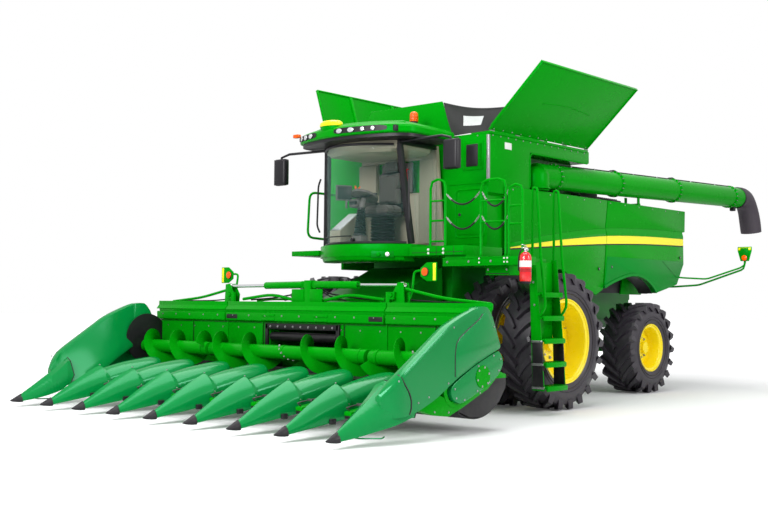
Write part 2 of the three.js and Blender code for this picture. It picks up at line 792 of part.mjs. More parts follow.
// mirrors hang from arms on the front of the frame
const mirror = (sign) => [
  pipe(
    [
      [sign * 700, CAB_FRONT - 90, CAB_ROOF_Z - 30],
      [sign * 1500, CAB_FRONT - 130, CAB_ROOF_Z - 20],
      [sign * 1660, CAB_FRONT - 140, CAB_ROOF_Z - 60],
      [sign * 1680, CAB_FRONT - 140, CAB_ROOF_Z - 200],
    ],
    20,
  ),
  box([sign * 1560, sign * 1800], [CAB_FRONT - 170, CAB_FRONT - 90], [3260, 3650]),
];
const cabFrame = join(pillar(1), pillar(-1), topRail(1), topRail(-1), header, ...mirror(1), ...mirror(-1));
add("cab_frame", cabFrame, black);

// bowed windscreen, leaning forward towards the roof
const SCREEN_HALF = CAB_HALF - PILLAR - 6;
const screenEdge = (half, y, bulge, z) => bow(half, y, bulge).map((point) => [...point, z]);
const screenLow = screenEdge(SCREEN_HALF, CAB_FRONT - 8, WINDSCREEN_BULGE, CAB_FLOOR_Z + 30);
const screenHigh = screenEdge(
  SCREEN_HALF - CAB_LEAN,
  CAB_FRONT - 150,
  WINDSCREEN_BULGE - 60,
  CAB_ROOF_Z - 70,
);
add("windscreen", sheet([screenLow, screenHigh], [0, GLASS_T, 0]), glass);

// side door and side window: a frame round a pane, joined in one solid
const DOOR_FRONT = CAB_FRONT + PILLAR + 22;
const DOOR_BACK = CAB_BACK - WALL - 30;
const DOOR_TOP = CAB_ROOF_Z - 75;
const DOOR_BOTTOM = CAB_FLOOR_Z + 30;
function sideLight(sign) {
  const x = (z, inset) => sign * (CAB_HALF - inset - lean(z));
  const frame = slab(
    "y",
    [
      [x(DOOR_BOTTOM, 0), DOOR_BOTTOM],
      [x(DOOR_TOP, 0), DOOR_TOP],
      [x(DOOR_TOP, WALL), DOOR_TOP],
      [x(DOOR_BOTTOM, WALL), DOOR_BOTTOM],
    ],
    DOOR_FRONT,
    DOOR_BACK,
  );
  const pane = slab(
    "x",
    [
      [DOOR_FRONT + 45, DOOR_BOTTOM + 60],
      [DOOR_BACK - 45, DOOR_BOTTOM + 60],
      [DOOR_BACK - 45, DOOR_TOP - 45],
      [DOOR_FRONT + 45, DOOR_TOP - 45],
    ],
    sign * (CAB_HALF - CAB_LEAN - 200),
    sign * (CAB_HALF + 100),
  );
  const light = slab(
    "y",
    [
      [x(DOOR_BOTTOM, 20), DOOR_BOTTOM + 20],
      [x(DOOR_TOP, 20), DOOR_TOP - 20],
      [x(DOOR_TOP, 20 + GLASS_T), DOOR_TOP - 20],
      [x(DOOR_BOTTOM, 20 + GLASS_T), DOOR_BOTTOM + 20],
    ],
    DOOR_FRONT + 20,
    DOOR_BACK - 20,
  );
  return join(cut(frame, pane), light);
}
add("cab_door_left", sideLight(1), glass);
add("cab_window_right", sideLight(-1), glass);

// roof: a bowed slab with a brow in front
const roofLow = [...bow(1120, CAB_FRONT - 330, 330), [1060, CAB_BACK - 40], [-1060, CAB_BACK - 40]];
const roofHigh = [...bow(960, CAB_FRONT - 280, 300), [960, CAB_BACK - 60], [-960, CAB_BACK - 60]];
add(
  "cab_roof",
  join(
    slab("z", roofLow, CAB_ROOF_Z + 45, CAB_ROOF_Z + 170),
    slab("z", roofHigh, CAB_ROOF_Z + 169, CAB_ROOF_Z + 240),
    box(
      [-CAB_HALF + CAB_LEAN, CAB_HALF - CAB_LEAN],
      [CAB_FRONT - 125, CAB_BACK - WALL],
      [CAB_ROOF_Z + GAP, CAB_ROOF_Z + 46],
    ),
  ),
  green,
);

const SEAT_Y = -1120;
add(
  "operator_seat",
  join(
    box([-240, 240], [SEAT_Y - 200, SEAT_Y + 180], [2760, 2880]),
    box([-230, 230], [SEAT_Y + 110, SEAT_Y + 210], [2860, 3420]),
    bar([0, SEAT_Y - 20, CAB_FLOOR_Z + GAP], [0, SEAT_Y - 20, 2780], 190, 16),
    box([-400, -270], [SEAT_Y - 330, SEAT_Y + 120], [2900, 3010]),
    box([-290, -200], [SEAT_Y - 100, SEAT_Y + 100], [2800, 2990]),
  ),
  black,
);

// ---- platform, rails and ladder ----

const LANDING_X = LADDER_X + 280; // the lower beam runs on in front of the ladder
const BEAM_BACK = 1340 - 2 * FRONT_TYRE_R; // a taller tyre pushes the beams' ends forward

const platform = join(
  box([CAB_HALF + 30, 1840], [PLATFORM_FRONT, TANK_FRONT - 10], [PLATFORM_Z - 125, PLATFORM_Z]),
  box([1480, LADDER_X - 40], [PLATFORM_FRONT + 15, BEAM_BACK], [1960, 2070]),
  box([LADDER_X - 50, LANDING_X], [PLATFORM_FRONT + 15, LADDER_FRONT - LADDER_DEPTH], [1960, 2070]),
  box([1480, 1840], [PLATFORM_FRONT + 60, -720], [2060, PLATFORM_Z - 100]),
  box([2060, 2440], [-1380, -990], [1840, 1970]),
);

const railLoop = (x0, x1, y, foot, top) =>
  pipe([[x0, y, foot], [x0, y, top], [x1, y, top], [x1, y, foot]], 19, 120);
const rungs = (x0, x1, y, heights) => heights.map((z) => bar([x0, y, z], [x1, y, z], 14, 6));
const RAIL_Y = PLATFORM_FRONT + 40;
const deckRail = join(
  railLoop(CAB_HALF + 370, CAB_HALF + 630, RAIL_Y, PLATFORM_Z - 60, 3140),
  ...rungs(CAB_HALF + 370, CAB_HALF + 630, RAIL_Y, [2300, 2580, 2850]),
  railLoop(LADDER_X - 400, LADDER_X, RAIL_Y, 2000, 3080),
  ...rungs(LADDER_X - 400, LADDER_X, RAIL_Y, [2530, 2805]),
  railLoop(LADDER_X + 50, LANDING_X - 20, RAIL_Y, 2000, 2990),
  ...rungs(LADDER_X + 50, LANDING_X - 20, RAIL_Y, [2490, 2720]),
);
add("platform", join(platform, deckRail), green);

const STEPS = [360, 670, 980, 1280, 1590];
const stringer = (y0, y1) =>
  slab(
    "y",
    [
      [LADDER_X + 30, 330],
      [LADDER_X + 210, 330],
      [LADDER_X + 165, 1000],
      [LADDER_X + 90, 1800],
      [LADDER_X + 70, 2060],
      [LADDER_X - 20, 2060],
      [LADDER_X - 20, 1800],
      [LADDER_X + 10, 1000],
    ],
    y0,
    y1,
  );
const ladder = join(
  stringer(LADDER_FRONT, LADDER_FRONT + 14),
  stringer(LADDER_BACK - 14, LADDER_BACK),
  ...STEPS.map((z) =>
    box([LADDER_X + 20, LADDER_X + 240 - z * 0.06], [LADDER_FRONT, LADDER_BACK], [z - 14, z + 14]),
  ),
  ...[LADDER_FRONT + 7, LADDER_BACK - 7].map((y) =>
    pipe(
      [
        [LADDER_X + 120, y, 1290],
        [LADDER_X + 230, y, 1420],
        [LADDER_X + 150, y, 2100],
        [LADDER_X + 90, y, 3000],
        [LADDER_X + 20, y, 3000],
        [LADDER_X + 20, y, 2040],
      ],
      18,
      110,
    ),
  ),
);
add("ladder", ladder, green);

// ---- feeder house and lift cylinders ----

const feederOutline = [
  [-620, 1990],
  [-600, 1180],
  [FEEDER_FRONT, 450],
  [FEEDER_FRONT, 1180],
];
const FEEDER_WALL = 24;
const FEEDER_INNER = FEEDER_HALF - FEEDER_WALL;
const LIFT_X = 620;
const LIFT_LOW = [-60, 740];
const LIFT_HIGH = [-1950, 560];
const inner = [
  [-500, 1940],
  [-500, 1250],
  [FEEDER_FRONT - 50, 480],
  [FEEDER_FRONT - 50, 1150],
];
const feeder = join(
  cut(slab("x", feederOutline, -FEEDER_HALF, FEEDER_HALF), slab("x", inner, -FEEDER_INNER, FEEDER_INNER)),
  cut(
    box([-820, 820], [FEEDER_FRONT - 55, FEEDER_FRONT], [400, 1260]),
    box([-FEEDER_INNER, FEEDER_INNER], [FEEDER_FRONT - 90, FEEDER_FRONT + 50], [480, 1150]),
  ),
  box([-520, -420], [LIFT_HIGH[0] - 60, LIFT_HIGH[0] + 60], [LIFT_HIGH[1] - 60, 720]),
  box([420, 520], [LIFT_HIGH[0] - 60, LIFT_HIGH[0] + 60], [LIFT_HIGH[1] - 60, 720]),
);
const pinHole = bar([-900, ...LIFT_HIGH], [900, ...LIFT_HIGH], 40 + RUN, 12);
add("feeder_house", cut(feeder, pinHole), green);

const liftAt = (sign, share) => [
  sign * LIFT_X,
  LIFT_LOW[0] + share * (LIFT_HIGH[0] - LIFT_LOW[0]),
  LIFT_LOW[1] + share * (LIFT_HIGH[1] - LIFT_LOW[1]),
];
const liftBarrels = [1, -1].map((sign) =>
  cut(bar(liftAt(sign, 0), liftAt(sign, 0.62), 55, 16), bar(liftAt(sign, 0.2), liftAt(sign, 0.63), 31, 12)),
);
const liftShaft = bar([-LIFT_X - 70, ...LIFT_LOW], [LIFT_X + 70, ...LIFT_LOW], 45, 16);
add("lift_barrels", join(...liftBarrels, liftShaft), green);
const liftRods = [1, -1].map((sign) => bar(liftAt(sign, 0.3), liftAt(sign, 1), 28, 12));
const liftPin = bar([-LIFT_X - 50, ...LIFT_HIGH], [LIFT_X + 50, ...LIFT_HIGH], 40, 16);
add("lift_rods", join(...liftRods, liftPin), chrome);

// ---- corn header ----

// Lower body of the header: a trough round the auger over a curved skid.
const TROUGH_FRONT = -3400;
const troughOutline = [
  [BACK_SHEET_Y, 1180],
  [BACK_SHEET_Y, AUGER_Z],
  ...arc(AUGER_Y, AUGER_Z, TROUGH_R, -10, -130, 6),
  [TROUGH_FRONT, 540],
  [TROUGH_FRONT, 250],
  ...arc(AUGER_Y, AUGER_Z, 620, -120, -29, 5),
  [HEADER_BACK, 560],
  [HEADER_BACK, 640],
  [BACK_SHEET_Y + 40, 700],
  [BACK_SHEET_Y + 40, 1180],
];
const BEAM = [
  [HEADER_BACK, 1310],
  [HEADER_BACK, 1450],
  [BACK_SHEET_Y, 1450],
  [BACK_SHEET_Y - 60, 1340],
  [BACK_SHEET_Y, 1160],
  [BACK_SHEET_Y + 40, 1160],
  [BACK_SHEET_Y + 40, 1310],
];
const OPENING_HALF = 665;
const FOLD_PIN_R = 25;
const LUG_Y = [HEADER_BACK - 210, HEADER_BACK - 165];
function foldPin(sign, radius) {
  const end = (back) => [sign * FOLD_PIN_X, HEADER_BACK - back, FOLD_PIN_Z];
  return bar(end(225), end(130), radius, 12);
}
const BEAM_TOP = 1450;
// lug on the centre frame that the wing's fold pin turns in
function foldLug(sign) {
  const foot = box([sign * (FOLD_X - 60), sign * FOLD_X], LUG_Y, [BEAM_TOP - 50, FOLD_PIN_Z + 40]);
  const around = [FOLD_PIN_Z - 55, FOLD_PIN_Z + 40];
  const arm = box([sign * (FOLD_X - 30), sign * (FOLD_PIN_X + 45)], LUG_Y, around);
  return cut(join(foot, arm), foldPin(sign, FOLD_PIN_R + 6));
}
const centreFrame = join(
  cut(
    slab("x", troughOutline, -FOLD_X, FOLD_X),
    box([-OPENING_HALF, OPENING_HALF], [BACK_SHEET_Y - 100, HEADER_BACK + 100], [500, 1145]),
  ),
  slab("x", BEAM, -FOLD_X, FOLD_X),
  box([-780, -OPENING_HALF - 10], [BACK_SHEET_Y, HEADER_BACK], [420, 1320]),
  box([780, OPENING_HALF + 10], [BACK_SHEET_Y, HEADER_BACK], [420, 1320]),
  box([-60, 60], [HEADER_BACK - 160, HEADER_BACK - 40], [1440, 1760]),
  foldLug(1),
  foldLug(-1),
);

// helical flighting wound round the auger's axis
const FLIGHT_T = 10;
function flighting(from, to, hand) {
  const turns = Math.abs(to - from) / PITCH;
  const steps = Math.round(turns * 9);
  const rows = Array.from({ length: steps + 1 }, (_, i) => {
    const angle = (hand * i * turns * 2 * Math.PI) / steps;
    const x = from + (i * (to - from)) / steps;
    return [AUGER_TUBE_R - 25, AUGER_R].map((r) => [x, r * Math.cos(angle), r * Math.sin(angle)]);
  });
  return sheet(rows, [FLIGHT_T, 0, 0]);
}
const PITCH = 620;
const centreAuger = join(
  bar([-FOLD_X + 30, 0, 0], [FOLD_X - 30, 0, 0], AUGER_TUBE_R, 14),
  flighting(-FOLD_X + 40, -250, 1),
  flighting(FOLD_X - 40, 250, -1),
);
add("header_auger_centre", centreAuger, green, [0, AUGER_Y, AUGER_Z]);

// One divider: a low snout that runs back and up into a rounded cowl.
const SNOUT_BACK = -4360;
const COWL_BACK = -3420;
function divider(x) {
  const tip = (y, half, low, high) => [
    [x - half, y, low],
    [x - half * 0.62, y, low + (high - low) * 0.8],
    [x, y, high],
    [x + half * 0.62, y, low + (high - low) * 0.8],
    [x + half, y, low],
  ];
  const rows = [
    tip(TIP_Y, 12, TIP_Z - 15, TIP_Z + 15),
    tip(-5000, 80, 120, 260),
    tip(-4700, 135, 160, 430),
    tip(SNOUT_BACK, 190, 210, 585),
    tip(-3900, 185, 330, HOOD_TOP + 30),
    tip(COWL_BACK, 120, 430, HOOD_TOP + 40),
  ];
  return loft(rows);
}

const carrier = (x0, x1) => box([x0, x1], [COWL_BACK - 120, COWL_BACK - 60], [440, 560]);
const centreLines = [-2, -1, 0, 1, 2].map((i) => i * ROW);
add("row_hoods_centre", join(...centreLines.map(divider), carrier(-2 * ROW, 2 * ROW)), hoodGreen);

// row units: two arms with gathering chains either side of each row's slot
const UNIT_FRONT = -4500;
const UNIT_BACK = TROUGH_FRONT + 5;
function rowUnit(x) {
  return [-1, 1].map((sign) =>
    slab(
      "x",
      [
        [UNIT_FRONT, 250],
        [UNIT_FRONT, 290],
        [UNIT_BACK, 425],
        [UNIT_BACK, 260],
      ],
      x + sign * 45,
      x + sign * 150,
    ),
  );
}
const unitBeam = (x0, x1) => box([x0, x1], [UNIT_BACK - 70, UNIT_BACK], [265, 420]);
const centreRows = [-1.5, -0.5, 0.5, 1.5].map((i) => i * ROW);
const slots = (lines) => lines.map((x) => box([x - 205, x + 205], [-4600, UNIT_BACK - 75], [200, 500]));
const centreUnits = cut(join(...centreRows.flatMap(rowUnit)), ...slots(centreLines));
add(
  "header_frame_centre",
  join(centreFrame, centreUnits, unitBeam(-1.7 * ROW, 1.7 * ROW)),
  green,
);

// ears on the wing: they hold the fold pin and take the fold cylinder's eye between them
const EARS_Y = [
  [HEADER_BACK - 157, HEADER_BACK - 140],
  [HEADER_BACK - 57, HEADER_BACK - 40],
];
const EYE_X = FOLD_PIN_X + 110;
const EYE_Z = 1685;
const earOutline = (sign) => [
  [sign * (FOLD_PIN_X - 8), BEAM_TOP - 60],
  [sign * (FOLD_PIN_X - 35), FOLD_PIN_Z + 10],
  [sign * (FOLD_PIN_X - 10), FOLD_PIN_Z + 45],
  [sign * (EYE_X - 40), EYE_Z + 40],
  [sign * (EYE_X + 45), EYE_Z + 30],
  [sign * (EYE_X + 70), BEAM_TOP - 60],
];

for (const [side, sign] of [["left", 1], ["right", -1]]) {
  const near = FOLD_X + 12;
  const far = HEADER_HALF - END_HOOD_T;
  const beamEnd = far - 60;
  const taper = box(
    [sign * (beamEnd - 200), sign * far],
    [BACK_SHEET_Y + 40, HEADER_BACK + 10],
    [1140, 1460],
  );
  const frame = join(
    slab("x", troughOutline, sign * near, sign * far),
    cut(slab("x", BEAM, sign * near, sign * beamEnd), taper),
    ...EARS_Y.map((y) => slab("y", earOutline(sign), ...y)),
    foldPin(sign, FOLD_PIN_R),
  );
  const rows = [2.5, 3.5].map((i) => sign * i * ROW);
  const units = cut(join(...rows.flatMap(rowUnit)), ...slots([sign * 3 * ROW]));
  add(
    `header_frame_${side}_wing`,
    join(frame, units, unitBeam(sign * 2.3 * ROW, sign * 3.7 * ROW)),
    green,
  );

  const auger = join(
    bar([sign * (near + 20), 0, 0], [sign * (far - 80), 0, 0], AUGER_TUBE_R, 14),
    flighting(sign * (far - 90), sign * (near + 40), -sign),
  );
  add(`header_auger_${side}_wing`, auger, green, [0, AUGER_Y, AUGER_Z]);

  // big end divider: a snout that grows into a tall hood beside the auger's end
  const shell = slab(
    "x",
    [
      [-4640, 632],
      [-3734, 1243],
      [-3013, 1444],
      [-2882, 1301],
      [-2725, 997],
      [-2679, 838],
      [-2701, 667],
      [-2898, 520],
      [-3260, 373],
      [-3805, 480],
      [-4407, 560],
    ],
    sign * (far + GAP),
    sign * HEADER_HALF,
  );
  const nose = (y, x0, x1, low, high) => [
    [sign * x0, y, low],
    [sign * (x0 * 0.8 + x1 * 0.2), y, low + (high - low) * 0.85],
    [sign * (x0 + x1) * 0.5, y, high],
    [sign * (x0 * 0.2 + x1 * 0.8), y, low + (high - low) * 0.85],
    [sign * x1, y, low],
  ];
  const snout = loft([
    nose(TIP_Y, HEADER_HALF - 294, HEADER_HALF - 270, TIP_Z - 15, TIP_Z + 15),
    nose(-4950, HEADER_HALF - 380, HEADER_HALF - 170, 110, 300),
    nose(-4400, HEADER_HALF - 460, HEADER_HALF - 30, 200, 600),
    nose(-4300, HEADER_HALF - 470, HEADER_HALF - 2, 240, 700),
    nose(-3740, HEADER_HALF - 370, HEADER_HALF - 2, 480, 1230),
    nose(-3420, HEADER_HALF - 270, HEADER_HALF - 2, 520, 1330),
  ]);
  const hoodBeam = carrier(sign * 2.7 * ROW, sign * (HEADER_HALF - 91));
  add(`dividers_${side}_wing`, join(shell, snout, divider(sign * 3 * ROW), hoodBeam), hoodGreen);

  // fold cylinder: barrel on the centre post, rod to the wing's ear
  const A = [sign * 120, HEADER_BACK - 100, 1700];
  const E = [sign * EYE_X, HEADER_BACK - 100, EYE_Z];
  const at = (share) => A.map((value, i) => value + share * (E[i] - value));
  const barrel = cut(
    join(bar(at(0), at(0.5), 50, 16), bar([A[0], A[1] - 40, A[2]], [A[0], A[1] + 40, A[2]], 52, 12)),
    bar(at(0.1), at(0.51), 27, 12),
  );
  add(`fold_barrel_${side}`, barrel, green);
  const eye = bar([E[0], E[1] - 35, E[2]], [E[0], E[1] + 35, E[2]], 42, 12);
  const rod = join(bar(at(0.34), at(1), 24, 12), eye);
  add(`fold_rod_${side}`, rod, chrome);
}

machine.position.y = -(TIP_Y + SPOUT_END_Y + 835) / 2;

export default machine;
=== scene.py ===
"""Combine harvester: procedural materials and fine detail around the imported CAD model.

Lengths are metres. Pieces are modelled with y counted from the front axle, machine facing -Y and
its left side +X, and place() moves each to the model's own origin.
"""

import json
import math

import bmesh
import bpy
from mathutils import Matrix, Vector

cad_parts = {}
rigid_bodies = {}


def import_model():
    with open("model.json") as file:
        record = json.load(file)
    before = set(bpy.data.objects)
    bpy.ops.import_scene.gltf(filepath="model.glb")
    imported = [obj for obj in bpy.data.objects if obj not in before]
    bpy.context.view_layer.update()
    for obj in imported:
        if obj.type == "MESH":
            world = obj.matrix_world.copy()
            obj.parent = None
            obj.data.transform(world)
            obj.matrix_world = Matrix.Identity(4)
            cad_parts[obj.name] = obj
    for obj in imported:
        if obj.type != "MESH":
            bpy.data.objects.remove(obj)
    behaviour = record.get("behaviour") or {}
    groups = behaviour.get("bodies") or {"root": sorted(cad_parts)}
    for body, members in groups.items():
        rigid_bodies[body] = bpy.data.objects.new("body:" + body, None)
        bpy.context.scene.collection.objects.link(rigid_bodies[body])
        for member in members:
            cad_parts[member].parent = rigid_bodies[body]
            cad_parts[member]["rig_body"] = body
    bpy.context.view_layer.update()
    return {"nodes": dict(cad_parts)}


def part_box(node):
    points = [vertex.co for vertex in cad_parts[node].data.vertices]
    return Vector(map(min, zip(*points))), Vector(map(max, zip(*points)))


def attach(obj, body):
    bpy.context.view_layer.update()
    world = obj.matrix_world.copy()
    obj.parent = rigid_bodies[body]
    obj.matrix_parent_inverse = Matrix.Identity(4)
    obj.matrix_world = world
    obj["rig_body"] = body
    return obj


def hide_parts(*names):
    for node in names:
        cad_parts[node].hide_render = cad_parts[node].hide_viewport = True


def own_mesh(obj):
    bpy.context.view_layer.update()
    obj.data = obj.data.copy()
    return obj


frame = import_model()
nodes = frame["nodes"]


def middle(node):
    """The centre of a CAD solid's box."""
    low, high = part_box(node)
    return (low + high) / 2


AXLE_Y = middle("front_left_outer_tyre").y
SIDES = (("left", 1), ("right", -1))

# ---- camera ----

CAMERA_AT = Vector((10.7155, -12.9222 + AXLE_Y, 1.4627))
CAMERA_YAW, CAMERA_PITCH, CAMERA_ROLL = 0.7368, 0.0439, 0.0083
LENS = 50.985

ahead = Vector((
    -math.sin(CAMERA_YAW) * math.cos(CAMERA_PITCH),
    math.cos(CAMERA_YAW) * math.cos(CAMERA_PITCH),
    math.sin(CAMERA_PITCH),
))
level = Vector((math.cos(CAMERA_YAW), math.sin(CAMERA_YAW), 0))
over = level.cross(ahead)
right = level * math.cos(CAMERA_ROLL) + over * math.sin(CAMERA_ROLL)
upward = over * math.cos(CAMERA_ROLL) - level * math.sin(CAMERA_ROLL)
camera = bpy.data.objects.new("camera", bpy.data.cameras.new("camera"))
camera.data.lens = LENS
camera.data.sensor_width = 36
camera.data.clip_end = 300
camera.matrix_world = Matrix((
    (right.x, upward.x, -ahead.x, CAMERA_AT.x),
    (right.y, upward.y, -ahead.y, CAMERA_AT.y),
    (right.z, upward.z, -ahead.z, CAMERA_AT.z),
    (0, 0, 0, 1),
))
scene = bpy.context.scene
scene.collection.objects.link(camera)
scene.camera = camera
scene.view_settings.view_transform = "Standard"

# ---- node helpers ----


class Tree:
    """Adds nodes to a node tree and joins them by name."""

    def __init__(self, tree):
        self.tree = tree

    def node(self, kind, settings=None, **sockets):
        made = self.tree.nodes.new(kind)
        for key, value in (settings or {}).items():
            setattr(made, key, value)
        for key, value in sockets.items():
            self.feed(made, key.replace("_", " "), value)
        return made

    def feed(self, node, key, value):
        socket = node.inputs[int(key)] if key.isdigit() else node.inputs[key]
        if isinstance(value, bpy.types.NodeSocket):
            self.tree.links.new(value, socket)
        else:
            socket.default_value = value

    def maths(self, operation, a, b=0.0):
        made = self.node("ShaderNodeMath", {"operation": operation, "use_clamp": True})
        self.feed(made, "0", a)
        self.feed(made, "1", b)
        return made.outputs[0]

    def noise(self, where, scale, detail=4.0, roughness=0.55):
        made = self.node("ShaderNodeTexNoise", Vector=where, Scale=scale, Detail=detail, Roughness=roughness)
        return made.outputs["Fac"]

    def ramp(self, value, low, high, to_low=0.0, to_high=1.0):
        made = self.node("ShaderNodeMapRange", Value=value)
        for key, number in (("From Min", low), ("From Max", high), ("To Min", to_low), ("To Max", to_high)):
            self.feed(made, key, number)
        return made.outputs["Result"]

    def mix(self, share, a, b):
        made = self.node("ShaderNodeMix", {"data_type": "RGBA"})
        self.feed(made, "0", share)
        self.feed(made, "6", a)
        self.feed(made, "7", b)
        return made.outputs[2]


def node_group(name, inputs, outputs):
    group = bpy.data.node_groups.new(name, "ShaderNodeTree")
    for key, kind, value in inputs:
        socket = group.interface.new_socket(key, in_out="INPUT", socket_type=kind)
        if value is not None:
            socket.default_value = value
    for key, kind in outputs:
        group.interface.new_socket(key, in_out="OUTPUT", socket_type=kind)
    tree = Tree(group)
    return group, tree, tree.node("NodeGroupInput").outputs, tree.node("NodeGroupOutput")


COLOUR, NUMBER, VECTOR = "NodeSocketColor", "NodeSocketFloat", "NodeSocketVector"


def make_weathering():
    """Sun fade in broad patches, dust that gathers low down and a roughness that varies in patches of its own
    and rises with the dust.
    """
    group, tree, given, out = node_group(
        "weathering",
        [
            ("Colour", COLOUR, (1, 1, 1, 1)),
            ("Fade", NUMBER, 0.15),
            ("Dust", NUMBER, 0.2),
            ("Dust Colour", COLOUR, (0.30, 0.27, 0.20, 1)),
            ("Gloss Low", NUMBER, 0.25),
            ("Gloss High", NUMBER, 0.4),
        ],
        [("Colour", COLOUR), ("Roughness", NUMBER)],
    )
    where = tree.node("ShaderNodeTexCoord").outputs["Object"]
    patches = tree.ramp(tree.noise(where, 0.9), 0.3, 0.7)
    specks = tree.ramp(tree.noise(where, 14.0, 6.0, 0.7), 0.42, 0.72)
    dark = tree.node("ShaderNodeHueSaturation", Color=given["Colour"], Value=0.78).outputs["Color"]
    faded = tree.mix(tree.maths("MULTIPLY", patches, given["Fade"]), given["Colour"], dark)
    height = tree.node("ShaderNodeSeparateXYZ", Vector=where).outputs["Z"]
    low_down = tree.ramp(height, 0.0, 1.6, 1.0, 0.12)
    dust = tree.maths("MULTIPLY", tree.maths("MULTIPLY", low_down, specks), given["Dust"])
    tree.feed(out, "Colour", tree.mix(dust, faded, given["Dust Colour"]))
    sheen = tree.noise(where, 5.0, 5.0, 0.6)
    rough = tree.node("ShaderNodeMapRange", Value=sheen)
    tree.feed(rough, "To Min", given["Gloss Low"])
    tree.feed(rough, "To Max", given["Gloss High"])
    tree.feed(out, "Roughness", tree.maths("ADD", rough.outputs["Result"], dust))
    return group


def make_skin_bump():
    """Fine surface relief: paint skin, moulded grain or rubber, by scale and height."""
    group, tree, given, out = node_group(
        "skin_relief",
        [("Scale", NUMBER, 300.0), ("Height", NUMBER, 0.0002), ("Waves", NUMBER, 0.0)],
        [("Normal", VECTOR)],
    )
    where = tree.node("ShaderNodeTexCoord").outputs["Object"]
    fine = tree.noise(where, given["Scale"], 2.0, 0.5)
    broad = tree.noise(where, 1.7, 1.0, 0.4)
    first = tree.node("ShaderNodeBump", Height=broad, Distance=given["Waves"], Strength=1.0)
    second = tree.node("ShaderNodeBump", Height=fine, Distance=given["Height"], Strength=1.0)
    tree.feed(second, "Normal", first.outputs["Normal"])
    tree.feed(out, "Normal", second.outputs["Normal"])
    return group


WEATHERING = make_weathering()
RELIEF = make_skin_bump()


def surface(name):
    """A new material with its node tree and its shader."""
    material = bpy.data.materials.new(name)
    material.use_nodes = True
    return material, Tree(material.node_tree), material.node_tree.nodes["Principled BSDF"]


def finish(name, colour, gloss=(0.25, 0.4), metallic=0.0, coat=0.0, fade=0.25, dust=0.15,
           relief=(300, 0.0002, 0.0), specular=0.5, dust_colour=(0.30, 0.27, 0.20, 1), sheen_tint=(1, 1, 1)):
    """A painted, moulded or bare surface with weathering and relief."""
    material, tree, shader = surface(name)
    worn = tree.node("ShaderNodeGroup", {"node_tree": WEATHERING}, Colour=(*colour, 1), Fade=fade, Dust=dust)
    tree.feed(worn, "Dust Colour", dust_colour)
    tree.feed(worn, "Gloss Low", gloss[0])
    tree.feed(worn, "Gloss High", gloss[1])
    skin = tree.node("ShaderNodeGroup", {"node_tree": RELIEF}, Scale=relief[0], Height=relief[1],
                     Waves=relief[2])
    tree.feed(shader, "Base Color", worn.outputs["Colour"])
    tree.feed(shader, "Roughness", worn.outputs["Roughness"])
    tree.feed(shader, "Normal", skin.outputs["Normal"])
    shader.inputs["Metallic"].default_value = metallic
    shader.inputs["Coat Weight"].default_value = coat
    shader.inputs["Coat Roughness"].default_value = 0.08
    shader.inputs["Specular IOR Level"].default_value = specular
    shader.inputs["Specular Tint"].default_value = (*sheen_tint, 1)
    return material


def clear(name, colour, alpha_face, alpha_edge, rough=0.04):
    """Clear sheet: nearly open when faced, more reflective at a glance."""
    material, tree, shader = surface(name)
    where = tree.node("ShaderNodeTexCoord").outputs["Object"]
    film = tree.ramp(tree.noise(where, 3.0, 5.0, 0.6), 0.35, 0.75)
    tree.feed(shader, "Base Color", tree.mix(film, (*colour, 1), (*[0.9 * c for c in colour], 1)))
    tree.feed(shader, "Roughness", tree.ramp(film, 0.0, 1.0, rough, rough + 0.06))
    edge = tree.node("ShaderNodeLayerWeight", Blend=0.35).outputs["Facing"]
    tree.feed(shader, "Alpha", tree.ramp(edge, 0.0, 1.0, alpha_face, alpha_edge))
    shader.inputs["Specular IOR Level"].default_value = 0.5
    return material


GREEN = (0.0004, 0.290, 0.0030)
GREEN_SHEEN = (0.06, 1.0, 0.30)
paint = finish("green_paint", GREEN, (0.20, 0.32), fade=0.30, dust=0.015, relief=(260, 0.00005, 0.0012),
               specular=0.10, sheen_tint=GREEN_SHEEN)
# darker copy of the body green: painted shade for the frame, axles, feeder house and recesses that sit under
# or behind the body; its extra dust low down is real dirt
shaded_dusty_frame_paint = finish("green_frame_paint_shaded_dusty", (0.0006, 0.21, 0.004), (0.28, 0.42), fade=0.4, dust=0.12,
                     specular=0.3, sheen_tint=GREEN_SHEEN)
hood_plastic = finish("green_hood_plastic", (0.0004, 0.215, 0.040), (0.14, 0.22), coat=0.0, fade=0.15,
                      dust=0.01, relief=(420, 0.00005, 0.0012), specular=0.5, sheen_tint=(0.4, 1.0, 0.75))
lower_plastic = finish("green_fender_plastic", (0.0004, 0.235, 0.020), (0.26, 0.36), fade=0.25, dust=0.1,
                       specular=0.15, sheen_tint=GREEN_SHEEN)
yellow = finish("yellow_paint", (0.98, 0.78, 0.003), (0.2, 0.34), coat=0.15, fade=0.12, dust=0.08)
stripe_yellow = finish("yellow_stripe", (0.93, 0.86, 0.004), (0.2, 0.3), coat=0.2, fade=0.05, dust=0.02)
black_paint = finish("black_paint", (0.008, 0.007, 0.009), (0.3, 0.5), fade=0.3, dust=0.06, specular=0.3)
moulded = finish("black_moulding", (0.009, 0.008, 0.011), (0.34, 0.5), fade=0.2, dust=0.04,
                 relief=(900, 0.0003, 0.0), specular=0.35)
tyre_rubber = finish("tyre_rubber", (0.030, 0.025, 0.034), (0.30, 0.50), fade=0.3, dust=0.10,
                     relief=(220, 0.0008, 0.0), dust_colour=(0.12, 0.11, 0.10, 1))
boot_rubber = finish("boot_rubber", (0.045, 0.035, 0.048), (0.5, 0.65), fade=0.4, dust=0.1,
                     relief=(160, 0.001, 0.0))
steel = finish("bare_steel", (0.42, 0.42, 0.43), (0.28, 0.45), metallic=1.0, fade=0.3, dust=0.15)
dark_steel = finish("dark_steel", (0.07, 0.068, 0.07), (0.4, 0.6), metallic=0.7, fade=0.4, dust=0.25)
chrome = finish("chrome_rod", (0.75, 0.76, 0.78), (0.08, 0.16), metallic=1.0, fade=0.1, dust=0.03)
